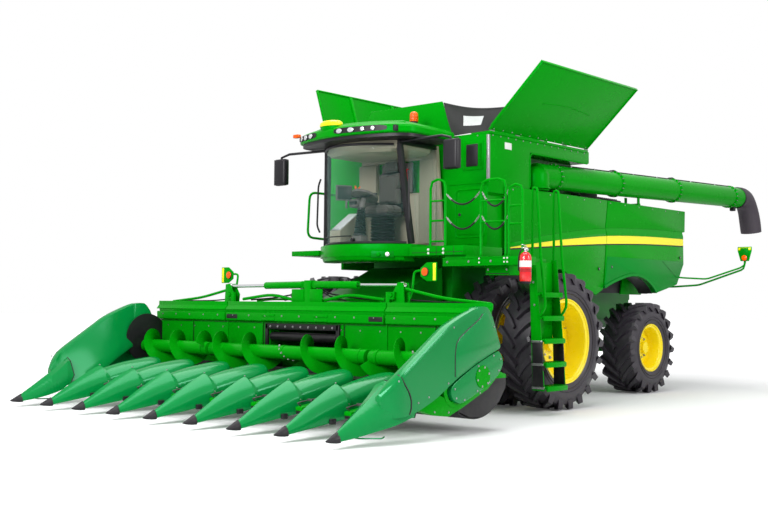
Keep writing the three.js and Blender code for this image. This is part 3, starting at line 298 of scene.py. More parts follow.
red_enamel = finish("red_enamel", (0.75, 0.006, 0.012), (0.12, 0.2), coat=0.6, fade=0.1, dust=0.02)
white_film = finish("white_film", (0.8, 0.8, 0.78), (0.3, 0.4), fade=0.1, dust=0.05)
amber = finish("amber_lens", (0.90, 0.11, 0.001), (0.10, 0.2), coat=0.1, specular=0.3, fade=0.25, dust=0.02,
               relief=(120, 0.002, 0.0))
clear_lens = finish("lamp_lens", (0.72, 0.74, 0.76), (0.05, 0.12), metallic=0.6, coat=0.6, fade=0.5,
                    dust=0.02, relief=(60, 0.004, 0.0))
trim = finish("cab_trim", (0.30, 0.27, 0.20), (0.5, 0.65), fade=0.2, dust=0.03, relief=(700, 0.0005, 0.0))
trim_dark = finish("cab_trim_dark", (0.10, 0.09, 0.085), (0.5, 0.65), fade=0.2, dust=0.03,
                   relief=(700, 0.0005, 0.0))
glass = clear("cab_glass", (0.26, 0.60, 0.52), 0.02, 0.13)
film_window = clear("clear_film", (0.8, 0.84, 0.84), 0.25, 0.7)


def cloth(name, colour, scale, height, gloss=0.8):
    """Woven cloth: crossed threads, raised where one passes over the other."""
    material, tree, shader = surface(name)
    where = tree.node("ShaderNodeTexCoord").outputs["Object"]
    across = tree.node("ShaderNodeTexWave", {"bands_direction": "X"}, Vector=where, Scale=scale,
                       Distortion=0.4)
    along = tree.node("ShaderNodeTexWave", {"bands_direction": "Z"}, Vector=where, Scale=scale,
                      Distortion=0.4)
    weave = tree.maths("MULTIPLY", across.outputs["Fac"], along.outputs["Fac"])
    patches = tree.noise(where, 4.0)
    shade = tree.maths("MULTIPLY", weave, patches)
    tree.feed(shader, "Base Color", tree.mix(shade, (*colour, 1), (*[c * 1.9 for c in colour], 1)))
    bump = tree.node("ShaderNodeBump", Height=weave, Distance=height, Strength=0.6)
    tree.feed(shader, "Normal", bump.outputs["Normal"])
    tree.feed(shader, "Roughness", tree.ramp(patches, 0.2, 0.8, gloss - 0.08, gloss + 0.08))
    shader.inputs["Sheen Weight"].default_value = 0.25
    return material


seat_cloth = cloth("seat_cloth", (0.055, 0.05, 0.045), 90, 0.0006)
gusset_cloth = cloth("gusset_cloth", (0.014, 0.013, 0.015), 120, 0.0008, 0.7)

# ---- modelling helpers ----


def ring_matrix(point, along, hint=Vector((0, 0, 1))):
    """Axes at a point with Z along the way given."""
    z = Vector(along).normalized()
    if abs(z.dot(hint)) > 0.98:
        hint = Vector((0, 1, 0))
    x = hint.cross(z).normalized()
    y = z.cross(x)
    return Matrix((
        (x.x, y.x, z.x, point[0]),
        (x.y, y.y, z.y, point[1]),
        (x.z, y.z, z.z, point[2]),
        (0, 0, 0, 1),
    ))


def bevel(bm, edges, offset, segments=2):
    bmesh.ops.bevel(bm, geom=list(edges), offset=offset, segments=segments, profile=0.5, affect="EDGES",
                    clamp_overlap=True, material=-1)


def edges_at(verts):
    return {e for v in verts for e in v.link_edges}


def block(bm, x, y, z, radius=0.0, turn=None, segments=2):
    """A block between two values along each axis, its edges rounded; turn is about its centre."""
    centre = Vector(((x[0] + x[1]) / 2, (y[0] + y[1]) / 2, (z[0] + z[1]) / 2))
    size = Matrix.Diagonal((abs(x[1] - x[0]), abs(y[1] - y[0]), abs(z[1] - z[0]), 1))
    matrix = Matrix.Translation(centre) @ (turn or Matrix.Identity(4)) @ size
    made = bmesh.ops.create_cube(bm, size=1, matrix=matrix)["verts"]
    if radius:
        bevel(bm, edges_at(made), radius, segments)


def rod(bm, start, end, radius, tip=None, sides=20, lip=0.0):
    """A round bar from one point to another, its end edges rounded by lip."""
    start, end = Vector(start), Vector(end)
    matrix = ring_matrix((start + end) / 2, end - start)
    made = bmesh.ops.create_cone(bm, cap_ends=True, segments=sides, radius1=radius, radius2=radius
                                 if tip is None else tip, depth=(end - start).length, matrix=matrix)
    if lip:
        ends = {f for v in made["verts"] for f in v.link_faces if len(f.verts) == sides}
        bevel(bm, {e for f in ends for e in f.edges}, lip)


def ball(bm, centre, radius, scale=(1, 1, 1), detail=16):
    matrix = Matrix.Translation(centre) @ Matrix.Diagonal((*scale, 1))
    bmesh.ops.create_uvsphere(bm, u_segments=detail, v_segments=detail // 2, radius=radius, matrix=matrix)


def loft(bm, rings):
    """A closed shape through rings of points, one extruded from the last."""
    last = [Vector(p) for p in rings[0]]
    face = bm.faces.new([bm.verts.new(p) for p in last])
    for ring in rings[1:]:
        grown = bmesh.ops.extrude_face_region(bm, geom=[face])["geom"]
        face = next(g for g in grown if isinstance(g, bmesh.types.BMFace))
        ring = [Vector(p) for p in ring]
        for vert in face.verts:
            index = min(range(len(last)), key=lambda i: (last[i] - vert.co).length)
            vert.co = ring[index]
        last = ring


PLANES = {
    "x": lambda u, v, w: Vector((w, u, v)),
    "y": lambda u, v, w: Vector((u, w, v)),
    "z": lambda u, v, w: Vector((u, v, w)),
}


def plate(bm, axis, outline, start, end, radius=0.0, segments=2):
    """An outline in the plane across an axis, pushed along it, its edges rounded."""
    put = PLANES[axis]
    face = bm.faces.new([bm.verts.new(put(u, v, start)) for u, v in outline])
    grown = bmesh.ops.extrude_face_region(bm, geom=[face])["geom"]
    verts = [g for g in grown if isinstance(g, bmesh.types.BMVert)]
    bmesh.ops.translate(bm, vec=put(0, 0, end - start), verts=verts)
    if radius:
        loop = edges_at(verts) | (edges_at(face.verts) if face.is_valid else set())
        bevel(bm, loop, radius, segments)


def turns(count, lead=0.0):
    """Angles spread evenly round a full turn."""
    return [2 * math.pi * (k + lead) / count for k in range(count)]


def around(centre, radius, angle):
    """The point at an angle on a circle in a plane."""
    return centre[0] + radius * math.cos(angle), centre[1] + radius * math.sin(angle)


def about(at, reach):
    return at - reach, at + reach


def span(sign, near_x, far_x):
    """Two distances from the middle, put on one side of the machine in rising order."""
    return sorted((sign * near_x, sign * far_x))


def tilt(degrees, axis):
    return Matrix.Rotation(math.radians(degrees), 4, axis)


def rounded(points, radius, steps=4):
    """The corners of a route eased into arcs."""
    points = [Vector(p) for p in points]
    made = [points[0]]
    for before, here, after in zip(points, points[1:], points[2:]):
        back, forth = before - here, after - here
        reach = min(radius, back.length * 0.45, forth.length * 0.45)
        start, end = here + back.normalized() * reach, here + forth.normalized() * reach
        for i in range(steps + 1):
            t = i / steps
            made.append(start * (1 - t) ** 2 + here * 2 * t * (1 - t) + end * t * t)
    return [*made, points[-1]]


def tube(bm, points, radius, bend=0.0, sides=10):
    """A round tube along a route."""
    route = rounded(points, bend) if bend else [Vector(p) for p in points]
    ways = []
    for i, here in enumerate(route):
        before, after = route[max(i - 1, 0)], route[min(i + 1, len(route) - 1)]
        back = (here - before).normalized() if here != before else Vector()
        ways.append(back + ((after - here).normalized() if after != here else Vector()))
    turn = ring_matrix(route[0], ways[0]).to_3x3()
    rings = []
    for i, here in enumerate(route):
        way = ways[i].normalized()
        turn = (turn.col[2].rotation_difference(way).to_matrix() @ turn) if i else turn
        rings.append([
            here + turn @ Vector((radius * math.cos(a), radius * math.sin(a), 0))
            for a in turns(sides)
        ])
    loft(bm, rings)


def turned(bm, profile, centre, steps=48, axis=(1, 0, 0)):
    """A profile of (along, radius) spun a full turn about an axis through centre."""
    axis = Vector(axis)
    out = Vector((0, 0, 1)) if abs(axis.z) < 0.5 else Vector((1, 0, 0))
    points = [Vector(centre) + axis * along + out * r for along, r in profile]
    verts = [bm.verts.new(p) for p in points]
    edges = [bm.edges.new(pair) for pair in zip(verts, verts[1:])]
    bmesh.ops.spin(bm, geom=verts + edges, cent=centre, axis=axis, angle=2 * math.pi, steps=steps,
                   use_merge=True, use_duplicate=False)
    bmesh.ops.remove_doubles(bm, verts=bm.verts, dist=1e-5)


def bolt(bm, at, along=(1, 0, 0), radius=0.014, head=0.012):
    """A hexagon head on its washer."""
    at, along = Vector(at), Vector(along).normalized()
    rod(bm, at - along * 0.002, at + along * 0.003, radius * 1.45, sides=12)
    rod(bm, at + along * 0.003, at + along * (0.003 + head), radius, sides=6)


def place(name, body, slot, *groups, replaces=(), sharp=38.0):
    """Makes one piece from (bmesh, material) groups and gives it to its body."""
    mesh = bpy.data.meshes.new(name)
    whole = bmesh.new()
    for index, (bm, material) in enumerate(groups):
        bmesh.ops.recalc_face_normals(bm, faces=bm.faces)
        bmesh.ops.translate(bm, vec=(0, AXLE_Y, 0), verts=bm.verts)
        for face in bm.faces:
            face.material_index = index
            face.smooth = True
        for edge in bm.edges:
            edge.smooth = len(edge.link_faces) == 2 and edge.calc_face_angle(0) < math.radians(sharp)
        part = bpy.data.meshes.new("part")
        bm.to_mesh(part)
        bm.free()
        whole.from_mesh(part)
        bpy.data.meshes.remove(part)
        mesh.materials.append(material)
    whole.to_mesh(mesh)
    whole.free()
    piece = bpy.data.objects.new(name, mesh)
    scene.collection.objects.link(piece)
    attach(piece, body)
    if replaces:
        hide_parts(*replaces)
    return piece


EASED, SHADED = math.radians(34), math.radians(40)  # edges that are eased, edges shaded as one surface


def refine(node, material, radius, second=None, where=None, cut=None):
    """A CAD solid's own shape with its edges eased.

    where(centre) picks faces for the second material; cut is a height at which faces are divided first.
    """
    bm = bmesh.new()
    bm.from_mesh(nodes[node].data)
    bmesh.ops.remove_doubles(bm, verts=bm.verts, dist=2e-5)
    bmesh.ops.dissolve_limit(bm, angle_limit=math.radians(0.5), use_dissolve_boundaries=False, verts=bm.verts,
                             edges=bm.edges)
    hard = [e for e in bm.edges if len(e.link_faces) == 2 and e.calc_face_angle(0) > EASED]
    if radius:
        bevel(bm, hard, radius)
    if cut:
        bmesh.ops.bisect_plane(bm, geom=[*bm.verts, *bm.edges, *bm.faces], dist=1e-5, plane_co=(0, 0, cut),
                               plane_no=(0, 0, 1))
    for face in bm.faces:
        face.smooth = True
        if where:
            c = face.calc_center_median()
            face.material_index = int(bool(where(Vector((c.x, c.y - AXLE_Y, c.z)))))
    for edge in bm.edges:
        edge.smooth = len(edge.link_faces) == 2 and edge.calc_face_angle(0) < SHADED
    name = f"{node}_finished"
    mesh = bpy.data.meshes.new(name)
    bm.to_mesh(mesh)
    bm.free()
    mesh.materials.append(material)
    if second:
        mesh.materials.append(second)
    piece = bpy.data.objects.new(name, mesh)
    scene.collection.objects.link(piece)
    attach(piece, nodes[node]["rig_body"])
    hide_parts(node)
    return piece


def new():
    return bmesh.new()


def shapes(count):
    return [new() for _ in range(count)]


def through(a, b, c, d, t):
    """The point at share t between b and c on a smooth curve through all four."""
    return 0.5 * (2 * b + (c - a) * t + (2 * a - 5 * b + 4 * c - d) * t * t
                  + (3 * b - a - 3 * c + d) * t ** 3)


def curve(points, steps=4):
    """A smooth line through points in a plane."""
    points = [Vector((*p, 0)) if len(p) == 2 else Vector(p) for p in points]
    ends = [points[0] * 2 - points[1], *points, points[-1] * 2 - points[-2]]
    made = []
    for a, b, c, d in zip(ends, ends[1:], ends[2:], ends[3:]):
        for i in range(steps):
            made.append(through(a, b, c, d, i / steps))
    made.append(points[-1])
    return [(p.x, p.y) for p in made]


def mirrored(points, sign):
    """The same points on the side of the machine that sign gives."""
    return [(sign * p[0], *p[1:]) for p in points]


def band(bm, axis, line, start, end, thick):
    """A thin strip that follows a line in a plane, thick across the line."""
    back = []
    for i, (u, v) in enumerate(line):
        a, b = line[max(i - 1, 0)], line[min(i + 1, len(line) - 1)]
        way = Vector((b[0] - a[0], b[1] - a[1])).normalized()
        back.append((u - way.y * thick, v + way.x * thick))
    plate(bm, axis, [*line, *reversed(back)], start, end)


# ---- wheels ----

LUG_H = 0.052


def carcass(bm, x, y, radius, width, rim):
    """A tyre without its lugs, with moulded rings on its sidewalls."""
    half, base = width / 2, radius - LUG_H
    side = [(-0.40, rim + 0.004), (-0.455, rim + 0.035), (-0.50, rim + 0.40 * (base - rim)),
            (-0.497, rim + 0.62 * (base - rim)), (-0.478, base - 0.085), (-0.43, base - 0.022),
            (-0.22, base - 0.004)]
    profile = [(2 * half * a, r) for a, r in side]
    profile += [(0.0, base)] + [(-a, r) for a, r in reversed(profile)]
    profile += [(0.36 * width, rim + 0.03), (-0.36 * width, rim + 0.03), profile[0]]
    turned(bm, profile, (x, y, radius), 72)
    for share in (0.16, 0.30):  # moulded rings on each sidewall
        for sign in (-1, 1):
            at, r = sign * half * (0.955 + share * 0.14), rim + 0.03 + share * (base - rim)
            turned(bm, [(at, r), (at + sign * 0.012, r + 0.006), (at, r + 0.014), (at, r)], (x, y, radius),
                   72)


def lug(bm, x, y, radius, width, start, sign):
    """One slanted bar from the crown's middle out over the shoulder."""
    half, base = width / 2, radius - LUG_H
    sweep = 0.98 * half
    stations = [(0.02, 0.0, 1.0), (0.30, 0.36, 1.0), (0.62, 0.68, 0.995), (0.88, 0.90, 0.97),
                (1.0, 0.985, 0.72), (1.012, 1.02, -0.5)]
    rings = []
    for i, (out, back, rise) in enumerate(stations):
        wide = (0.031 + 0.013 * out) * (0.8 if i == 0 else 1.0)
        top = base + LUG_H * rise
        low = base - (0.02 if out < 0.9 else 0.09)
        ring = []
        for slide, r in ((-1.25, low), (1.25, low), (0.86, top), (-0.86, top)):
            across = Vector((0.62, 1.0)).normalized() * (wide * slide)
            px = sign * (out * half - 0.62 * across.x)
            angle = start - (back * sweep + across.y) / base
            ring.append((x + px, y - r * math.sin(angle), radius + r * math.cos(angle)))
        rings.append(ring)
    loft(bm, rings)


def tyre(name, node, body, centre, radius, width, rim, count):
    """A whole tyre: its carcass and count slanted lugs on either side."""
    bm = new()
    carcass(bm, *centre, radius, width, rim)
    for k in range(count):
        for sign in (-1, 1):
            start = 2 * math.pi * (k + (0.25 if sign > 0 else -0.25)) / count
            lug(bm, *centre, radius, width, start, sign)
    return place(name, body, "tyre_rubber", (bm, tyre_rubber), replaces=[node], sharp=32)


def wheel_rim(bm, x, y, z, radius, width, dish, sign):
    """A stepped rim with its dished disc; dish is the disc's place along the axle."""
    half = width / 2
    wall = radius - 0.045
    profile = [(dish - 0.012, 0.0), (dish - 0.012, radius * 0.60),
               (dish - sign * 0.03 - 0.012, radius * 0.74), (dish - sign * 0.045 - 0.012, wall)]
    low = [(-half * 0.72, wall), (-half * 0.80, wall + 0.012), (-half * 0.84, radius - 0.006),
           (-half * 0.90, radius + 0.002), (-half * 0.90, radius + 0.02), (-half * 0.86, radius + 0.022),
           (-half * 0.80, radius + 0.002), (-half * 0.6, radius - 0.012)]
    high = [(-a, r) for a, r in reversed(low)]
    back = [(dish - sign * 0.045 + 0.012, wall), (dish - sign * 0.03 + 0.012, radius * 0.74),
            (dish + 0.012, radius * 0.60), (dish + 0.012, 0.0)]
    turned(bm, [*profile, *low, *high, *back], (x, y, z), 72)


def hub_and_bolts(bm, steel_bm, x, y, z, reach, hub, circle, count, sign, size=0.016):
    """A hub drum with its circle of wheel bolts."""
    face = x + sign * reach
    rod(bm, (x, y, z), (face, y, z), hub, sides=36, lip=0.012)
    for angle in turns(count, 0.5):
        bolt(steel_bm, (x + sign * 0.014, *around((y, z), circle, angle)), (sign, 0, 0), size, 0.022)



FRONT_R, REAR_R = middle("front_left_outer_tyre").z, middle("rear_left_tyre").z
FRONT_W, REAR_W = 0.52, 0.60
OUTER_X, INNER_X = middle("front_left_outer_tyre").x, middle("front_left_inner_tyre").x
REAR_Y, REAR_X = middle("rear_left_tyre").y - AXLE_Y, middle("rear_left_tyre").x
FRONT_RIM, REAR_RIM = 0.57, 0.376

for side, sign in SIDES:
    body = f"front_{side}_wheels"
    for which, x in (("outer", OUTER_X), ("inner", INNER_X)):
        tyre(f"front_{side}_{which}_tyre_tread", f"front_{side}_{which}_tyre", body, (sign * x, 0), FRONT_R,
             FRONT_W, FRONT_RIM, 22)
    rims, bolts = shapes(2)
    for x in (OUTER_X, INNER_X):
        wheel_rim(rims, sign * x, 0, FRONT_R, FRONT_RIM, FRONT_W, sign * -0.06, sign)
    hub_and_bolts(rims, bolts, sign * (OUTER_X - 0.06), 0, FRONT_R, 0.085, 0.15, 0.235, 10, sign, 0.017)
    rod(rims, (sign * (INNER_X - 0.14), 0, FRONT_R), (sign * (INNER_X - 0.06), 0, FRONT_R), 0.24, sides=40)
    rod(rims, (sign * (INNER_X - 0.06), 0, FRONT_R), (sign * (OUTER_X - 0.06), 0, FRONT_R), 0.33, sides=40)
    for angle in turns(3, 0.2):  # wheel weights' studs and the valve
        y, z = around((0, FRONT_R), 0.42, angle)
        rod(bolts, (sign * (OUTER_X - 0.06), y, z), (sign * (OUTER_X - 0.02), y, z), 0.011, sides=10)
    place(f"front_{side}_rims_painted", body, "yellow_paint", (rims, yellow), (bolts, steel),
          replaces=[f"front_{side}_rims"])

    body = f"rear_{side}_wheel"
    tyre(f"rear_{side}_tyre_tread", f"rear_{side}_tyre", body, (sign * REAR_X, REAR_Y), REAR_R, REAR_W,
         REAR_RIM, 19)
    rims, bolts = shapes(2)
    wheel_rim(rims, sign * REAR_X, REAR_Y, REAR_R, REAR_RIM, REAR_W, sign * 0.06, sign)
    hub_and_bolts(rims, bolts, sign * (REAR_X + 0.06), REAR_Y, REAR_R, 0.11, 0.095, 0.165, 10, sign, 0.016)
    rod(rims, (sign * (REAR_X - 0.15), REAR_Y, REAR_R), (sign * (REAR_X + 0.06), REAR_Y, REAR_R), 0.14,
        sides=32)
    place(f"rear_{side}_rim_painted", body, "yellow_paint", (rims, yellow), (bolts, steel),
          replaces=[f"rear_{side}_rim"])
    # the knuckle takes the darker green, which is painted shade
    refine(f"rear_{side}_knuckle", shaded_dusty_frame_paint, 0.008)

# ---- frame, axles and lower body ----

# frame, axles and lower body take the darker green, which is painted shade, with dust low down
for node, radius in (("front_axle", 0.012), ("rear_axle", 0.010), ("main_frame", 0.006),
                     ("cleaning_shoe", 0.010), ("straw_chopper", 0.008), ("separator_body", 0.008)):
    refine(node, shaded_dusty_frame_paint, radius)
refine("engine_block", dark_steel, 0.02)
for side, _ in SIDES:
    refine(f"spreader_disc_{side}", steel, 0.003)

# ---- upper bodywork ----

refine("rear_hood", paint, 0.012)
refine("grain_tank", paint, 0.008)
for part, radius in (("left", 0.003), ("right", 0.003), ("front", 0.004), ("rear", 0.004)):
    refine(f"tank_cover_{part}", paint, radius)
refine("cab_floor", paint, 0.012, second=trim_dark, where=lambda c: c.z > 2.29 and abs(c.x) < 0.3)
refine("cab_rear_wall", trim, 0.006)
for node in ("windscreen", "cab_door_left", "cab_window_right"):
    refine(node, glass, 0.0)
refine("platform", paint, 0.004)
refine("ladder", paint, 0.003)
# feeder house and lift barrels take the darker green, which is painted shade
refine("feeder_house", shaded_dusty_frame_paint, 0.006)
refine("lift_barrels", shaded_dusty_frame_paint, 0.004)
refine("lift_rods", chrome, 0.003)
for side, _ in SIDES:
    refine(f"fold_barrel_{side}", paint, 0.004)
    refine(f"fold_rod_{side}", chrome, 0.003)

# ---- corn header ----

ROW = 0.762
SNOUT_TIP, SNOUT_BACK = -5.30, -4.36


def hood_ring(x, y, half, low, crease, high, steps=7, fullness=0.5):
    """Section across a hood: upright skirts, a crease, then a softly rounded ridge."""
    side = []
    for i in range(steps + 1):
        angle = i / steps * math.pi / 2
        share = i / steps
        out = half * (fullness * math.cos(angle) + (1 - fullness) * (1 - share))
        up = crease + (high - crease) * (fullness * math.sin(angle) + (1 - fullness) * share)
        side.append((out, up))
    ring = [(x + half * 0.96, y, low)] + [(x + a, y, z) for a, z in side]
    return ring + [(x - a, y, z) for a, z in reversed(side[:-1])] + [(x - half * 0.96, y, low)]


def eased(rings, steps=4):
    """Rings added between the given ones so that a shell curves smoothly along its length."""
    ends = [rings[0], *rings, rings[-1]]
    made = []
    for four in zip(ends, ends[1:], ends[2:], ends[3:]):
        lines = list(zip(*([Vector(v) for v in ring] for ring in four)))
        for i in range(steps):
            made.append([through(*points, i / steps) for points in lines])
    return [*made, rings[-1]]


def snout(bm, x):
    """The snout's rear edge bows back over the cowl, further at the ridge than at the skirts."""
    stations = [(-5.17, 0.040, 0.075, 0.105, 0.150), (-5.0, 0.078, 0.105, 0.155, 0.252),
                (-4.85, 0.108, 0.130, 0.205, 0.345), (-4.7, 0.134, 0.155, 0.260, 0.430),
                (-4.52, 0.168, 0.185, 0.325, 0.522), (SNOUT_BACK - 0.04, 0.190, 0.208, 0.370, 0.575)]
    rings = eased([hood_ring(x, *s, fullness=0.50) for s in stations], 3)
    last = [Vector(p) for p in rings[-1]]
    for p in last:
        p.y += 0.075 * max(0.0, 1 - ((p.z - 0.40) / 0.19) ** 2) - 0.02
    loft(bm, [*rings, last])


def snout_tip(bm, x):
    """The dark point at a snout's front end."""
    stations = [(SNOUT_TIP, 0.010, 0.082, 0.088, 0.098), (-5.26, 0.028, 0.070, 0.085, 0.118),
                (-5.20, 0.046, 0.064, 0.095, 0.150), (-5.15, 0.054, 0.064, 0.105, 0.176),
                (-5.135, 0.050, 0.070, 0.105, 0.170)]
    loft(bm, [hood_ring(x, *s, 4) for s in stations])


def cowl(bm, x):
    """The rounded hood behind a snout."""
    stations = [(-4.44, 0.140, 0.235, 0.370, 0.500), (-4.30, 0.166, 0.250, 0.400, 0.545),
                (-4.05, 0.186, 0.290, 0.445, 0.602), (-3.80, 0.194, 0.335, 0.490, 0.640),
                (-3.64, 0.190, 0.370, 0.520, 0.658), (-3.54, 0.172, 0.400, 0.540, 0.662),
                (-3.47, 0.138, 0.425, 0.550, 0.655), (-3.435, 0.090, 0.440, 0.550, 0.640),
                (-3.425, 0.045, 0.450, 0.545, 0.620)]
    fulness = [0.55, 0.62, 0.75, 0.85, 0.9, 0.9, 0.9, 0.9, 0.9]
    loft(bm, eased([hood_ring(x, *s, fullness=f) for s, f in zip(stations, fulness)], 3))


def row_hood(hood, dark, bolts, x):
    """One row's snout and cowl, its dark tip, side clips and fixings."""
    snout(hood, x)
    cowl(hood, x)
    snout_tip(dark, x)
    for sign in (-1, 1):
        bolt(bolts, (x + sign * 0.183, -4.385, 0.36), (sign, 0, 0.25), 0.008, 0.006)
        block(dark, about(x + sign * 0.155, 0.02), (-4.64, -4.56), (0.155, 0.215), 0.008)
    bolt(bolts, (x, -4.40, 0.578), (0, 0, 1), 0.008, 0.005)


DIVIDER_X, HOOD_OUT = 3.048, 3.322


def end_divider(sign):
    """Tall end hood outside the auger: snout, hood, door, round cover, skid strip and reflectors."""
    outer = HOOD_OUT
    hood, dark, bolts, bright, lamps = shapes(5)
    snout_rings = [
        [(DIVIDER_X + a, y + slant * (a / 0.2), z) for a, z in section]
        for y, slant, section in [
            (-5.17, 0.0, [(0.045, 0.075), (0.045, 0.105), (0.030, 0.140), (0.0, 0.158), (-0.03, 0.140),
                          (-0.045, 0.105), (-0.045, 0.075)]),
            (-4.98, 0.0, [(0.100, 0.105), (0.100, 0.170), (0.055, 0.250), (0.0, 0.278), (-0.055, 0.245),
                          (-0.10, 0.170), (-0.10, 0.105)]),
            (-4.78, 0.01, [(0.165, 0.150), (0.165, 0.260), (0.085, 0.375), (0.0, 0.405), (-0.075, 0.365),
                           (-0.135, 0.250), (-0.135, 0.150)]),
            (-4.58, 0.05, [(0.232, 0.205), (0.232, 0.345), (0.120, 0.500), (0.0, 0.545), (-0.085, 0.500),
                           (-0.155, 0.340), (-0.155, 0.205)]),
            (-4.45, 0.10, [(0.268, 0.270), (0.268, 0.420), (0.140, 0.600), (0.0, 0.650), (-0.09, 0.600),
                           (-0.165, 0.410), (-0.165, 0.270)]),
        ]
    ]
    nose = eased([mirrored(ring, sign) for ring in snout_rings], 4)
    last = [Vector(p) for p in nose[-1]]
    for p in last:
        p.y += 0.11 * max(0.0, 1 - ((p.z - 0.44) / 0.22) ** 2)
    loft(hood, [*nose, last])
    tube(dark, last, 0.007, 0, 6)
    snout_tip(dark, sign * DIVIDER_X)
    stations = [(-4.66, 3.030, 3.190, 0.300, 0.520), (-4.56, 2.965, 3.275, 0.280, 0.640),
                (-4.45, 2.915, 3.315, 0.285, 0.745), (-4.28, 2.900, 3.322, 0.315, 0.862),
                (-4.10, 2.915, 3.322, 0.375, 0.980), (-3.92, 2.945, 3.322, 0.450, 1.098),
                (-3.74, 2.990, 3.322, 0.548, 1.215), (-3.58, 3.040, 3.322, 0.636, 1.290),
                (-3.42, 3.090, 3.322, 0.710, 1.355), (-3.28, 3.135, 3.322, 0.772, 1.404),
                (-3.19, 3.160, 3.322, 0.812, 1.426)]
    rings = []
    for y, inner, outer, low, high in stations:
        ridge = min(0.13, (outer - inner) * 0.45)
        rings.append([
            (outer, y, low), (outer, y, low + 0.03), (outer, y, high - 0.075), (outer, y, high - 0.050),
            (outer - 0.012, y, high - 0.016), (outer - 0.042, y, high),
            (outer - ridge + 0.03, y, high - 0.003), (outer - ridge, y, high - 0.022),
            (outer - ridge - 0.012, y, high - 0.06),
            (inner * 0.35 + (outer - ridge) * 0.65, y, low + 0.55 * (high - low)),
            (inner * 0.75 + (outer - ridge) * 0.25, y, low + 0.25 * (high - low)),
            (inner, y, low + 0.06 * (high - low)), (inner, y, low),
        ])
    loft(hood, eased([mirrored(ring, sign) for ring in rings], 10))
    tube(dark, mirrored([(3.262, -4.480, 0.722), (3.306, -4.468, 0.694), (3.318, -4.43, 0.62),
                         (3.323, -4.37, 0.54), (3.323, -4.33, 0.45), (3.323, -4.335, 0.36),
                         (3.321, -4.36, 0.305)], sign), 0.008, 0.03, 8)
    # rear of the hood, with the cheek beside the auger's end
    back = [(-3.215, 1.412), (-3.195, 1.422), (-3.10, 1.432), (-3.03, 1.426), (-2.985, 1.395), (-2.92, 1.313),
            (-2.85, 1.165), (-2.763, 0.977), (-2.79, 0.945), (-2.86, 0.925), (-3.215, 0.795)]
    plate(hood, "x", back, sign * (outer - 0.125), sign * (outer - 0.001), 0.016)
    # seam between front hood and door, then the door itself
    door = [(-3.604, 0.665), (-3.604, 0.90), (-3.585, 1.02), (-3.53, 1.085), (-3.36, 1.185), (-3.18, 1.284),
            (-3.115, 1.345), (-3.06, 1.372), (-3.01, 1.352), (-2.955, 1.27), (-2.87, 1.09), (-2.812, 0.985),
            (-2.84, 0.962), (-3.217, 0.822), (-3.52, 0.685), (-3.57, 0.66)]
    tube(dark, [(sign * (outer - 0.004), y, z) for y, z in door[:7]], 0.010, 0.03, 8)
    # a black disc set inside the hood is painted shade: it darkens the round recess at the auger's end
    recess = [around((-3.02, 0.90), 0.37, a)
              for a in [math.pi * k / 18 for k in range(36)]]
    plate(dark, "x", recess, sign * 3.135, sign * 3.143)
    plate(hood, "x", door, sign * (outer - 0.02), sign * (outer + 0.007), 0.006)
    band(dark, "x", [(-3.66, 0.600), (-3.50, 0.672), (-3.22, 0.795), (-2.86, 0.930), (-2.77, 0.962)],
         sign * (outer - 0.10), sign * (outer - 0.004), 0.022)
    # rounded lower cover
    cover = curve([(-3.60, 0.595), (-3.655, 0.545), (-3.662, 0.485), (-3.62, 0.415), (-3.53, 0.372),
                   (-3.43, 0.378), (-3.20, 0.462), (-2.96, 0.556), (-2.80, 0.655), (-2.724, 0.755),
                   (-2.722, 0.835), (-2.775, 0.905), (-2.85, 0.912), (-3.217, 0.780), (-3.45, 0.672)], 3)
    plate(hood, "x", cover, sign * (outer - 0.11), sign * (outer - 0.006), 0.028, 3)
    band(bright, "x", [(y - 0.030, z - 0.004) for y, z in cover[:16]], sign * (outer - 0.10),
         sign * (outer - 0.040), -0.05)
    turned(bright, [(0.0, 0.0), (0.0, 0.128), (0.005, 0.130), (0.010, 0.126), (0.010, 0.0)],
           (sign * outer - (0.006 if sign > 0 else 0.004), -3.10, 0.641), 40)
    for k in range(6):
        angle = math.pi / 3 * (k + 0.3)
        bolt(bolts, (sign * (outer + 0.004), *around((-3.10, 0.641), 0.108, angle)), (sign, 0, 0), 0.009,
             0.004)
    for y, z in ((-3.60, 0.53), (-3.575, 0.43), (-3.43, 0.405), (-3.20, 0.49), (-2.98, 0.578), (-2.80, 0.70),
                 (-2.765, 0.83), (-2.90, 0.872), (-3.18, 0.765)):
        bolt(bolts, (sign * (outer - 0.006), y, z), (sign, 0, 0), 0.008, 0.004)
    for y, z in ((-4.22, 0.42), (-4.05, 0.47), (-3.72, 0.60), (-4.53, 0.66), (-3.63, 1.20), (-2.90, 1.20)):
        bolt(bolts, (sign * outer, y, z), (sign, 0, 0), 0.007, 0.004)
    # frame strip below, then the skid that runs on the ground
    strip = [(-4.16, 0.335), (-3.906, 0.262), (-3.656, 0.232), (-3.40, 0.318), (-2.95, 0.495), (-2.79, 0.610),
             (-2.86, 0.640), (-3.42, 0.400), (-3.62, 0.400), (-3.80, 0.470), (-4.12, 0.400)]
    plate(bright, "x", strip, sign * 3.16, sign * (outer - 0.045), 0.008)
    for y, z in ((-3.90, 0.30), (-3.66, 0.28), (-3.10, 0.46)):
        bolt(bolts, (sign * (outer - 0.045), y, z), (sign, 0, 0), 0.008, 0.005)
    tube(hood, mirrored([(3.06, -5.02, 0.118), (3.09, -4.86, 0.085), (3.16, -4.60, 0.070),
                         (3.17, -4.575, 0.088)], sign), 0.008, 0.03, 8)
    for y, z in (((-2.89, -2.878), (1.14, 1.215)), ((-2.825, -2.813), (0.99, 1.06))):
        block(lamps, (sign * 3.22, sign * 3.30), y, z, 0.004, tilt(-24, "X"))
    return hood, dark, bolts, bright, lamps


AUGER = (-3.05, 0.79)  # y and z of the header augers' axis


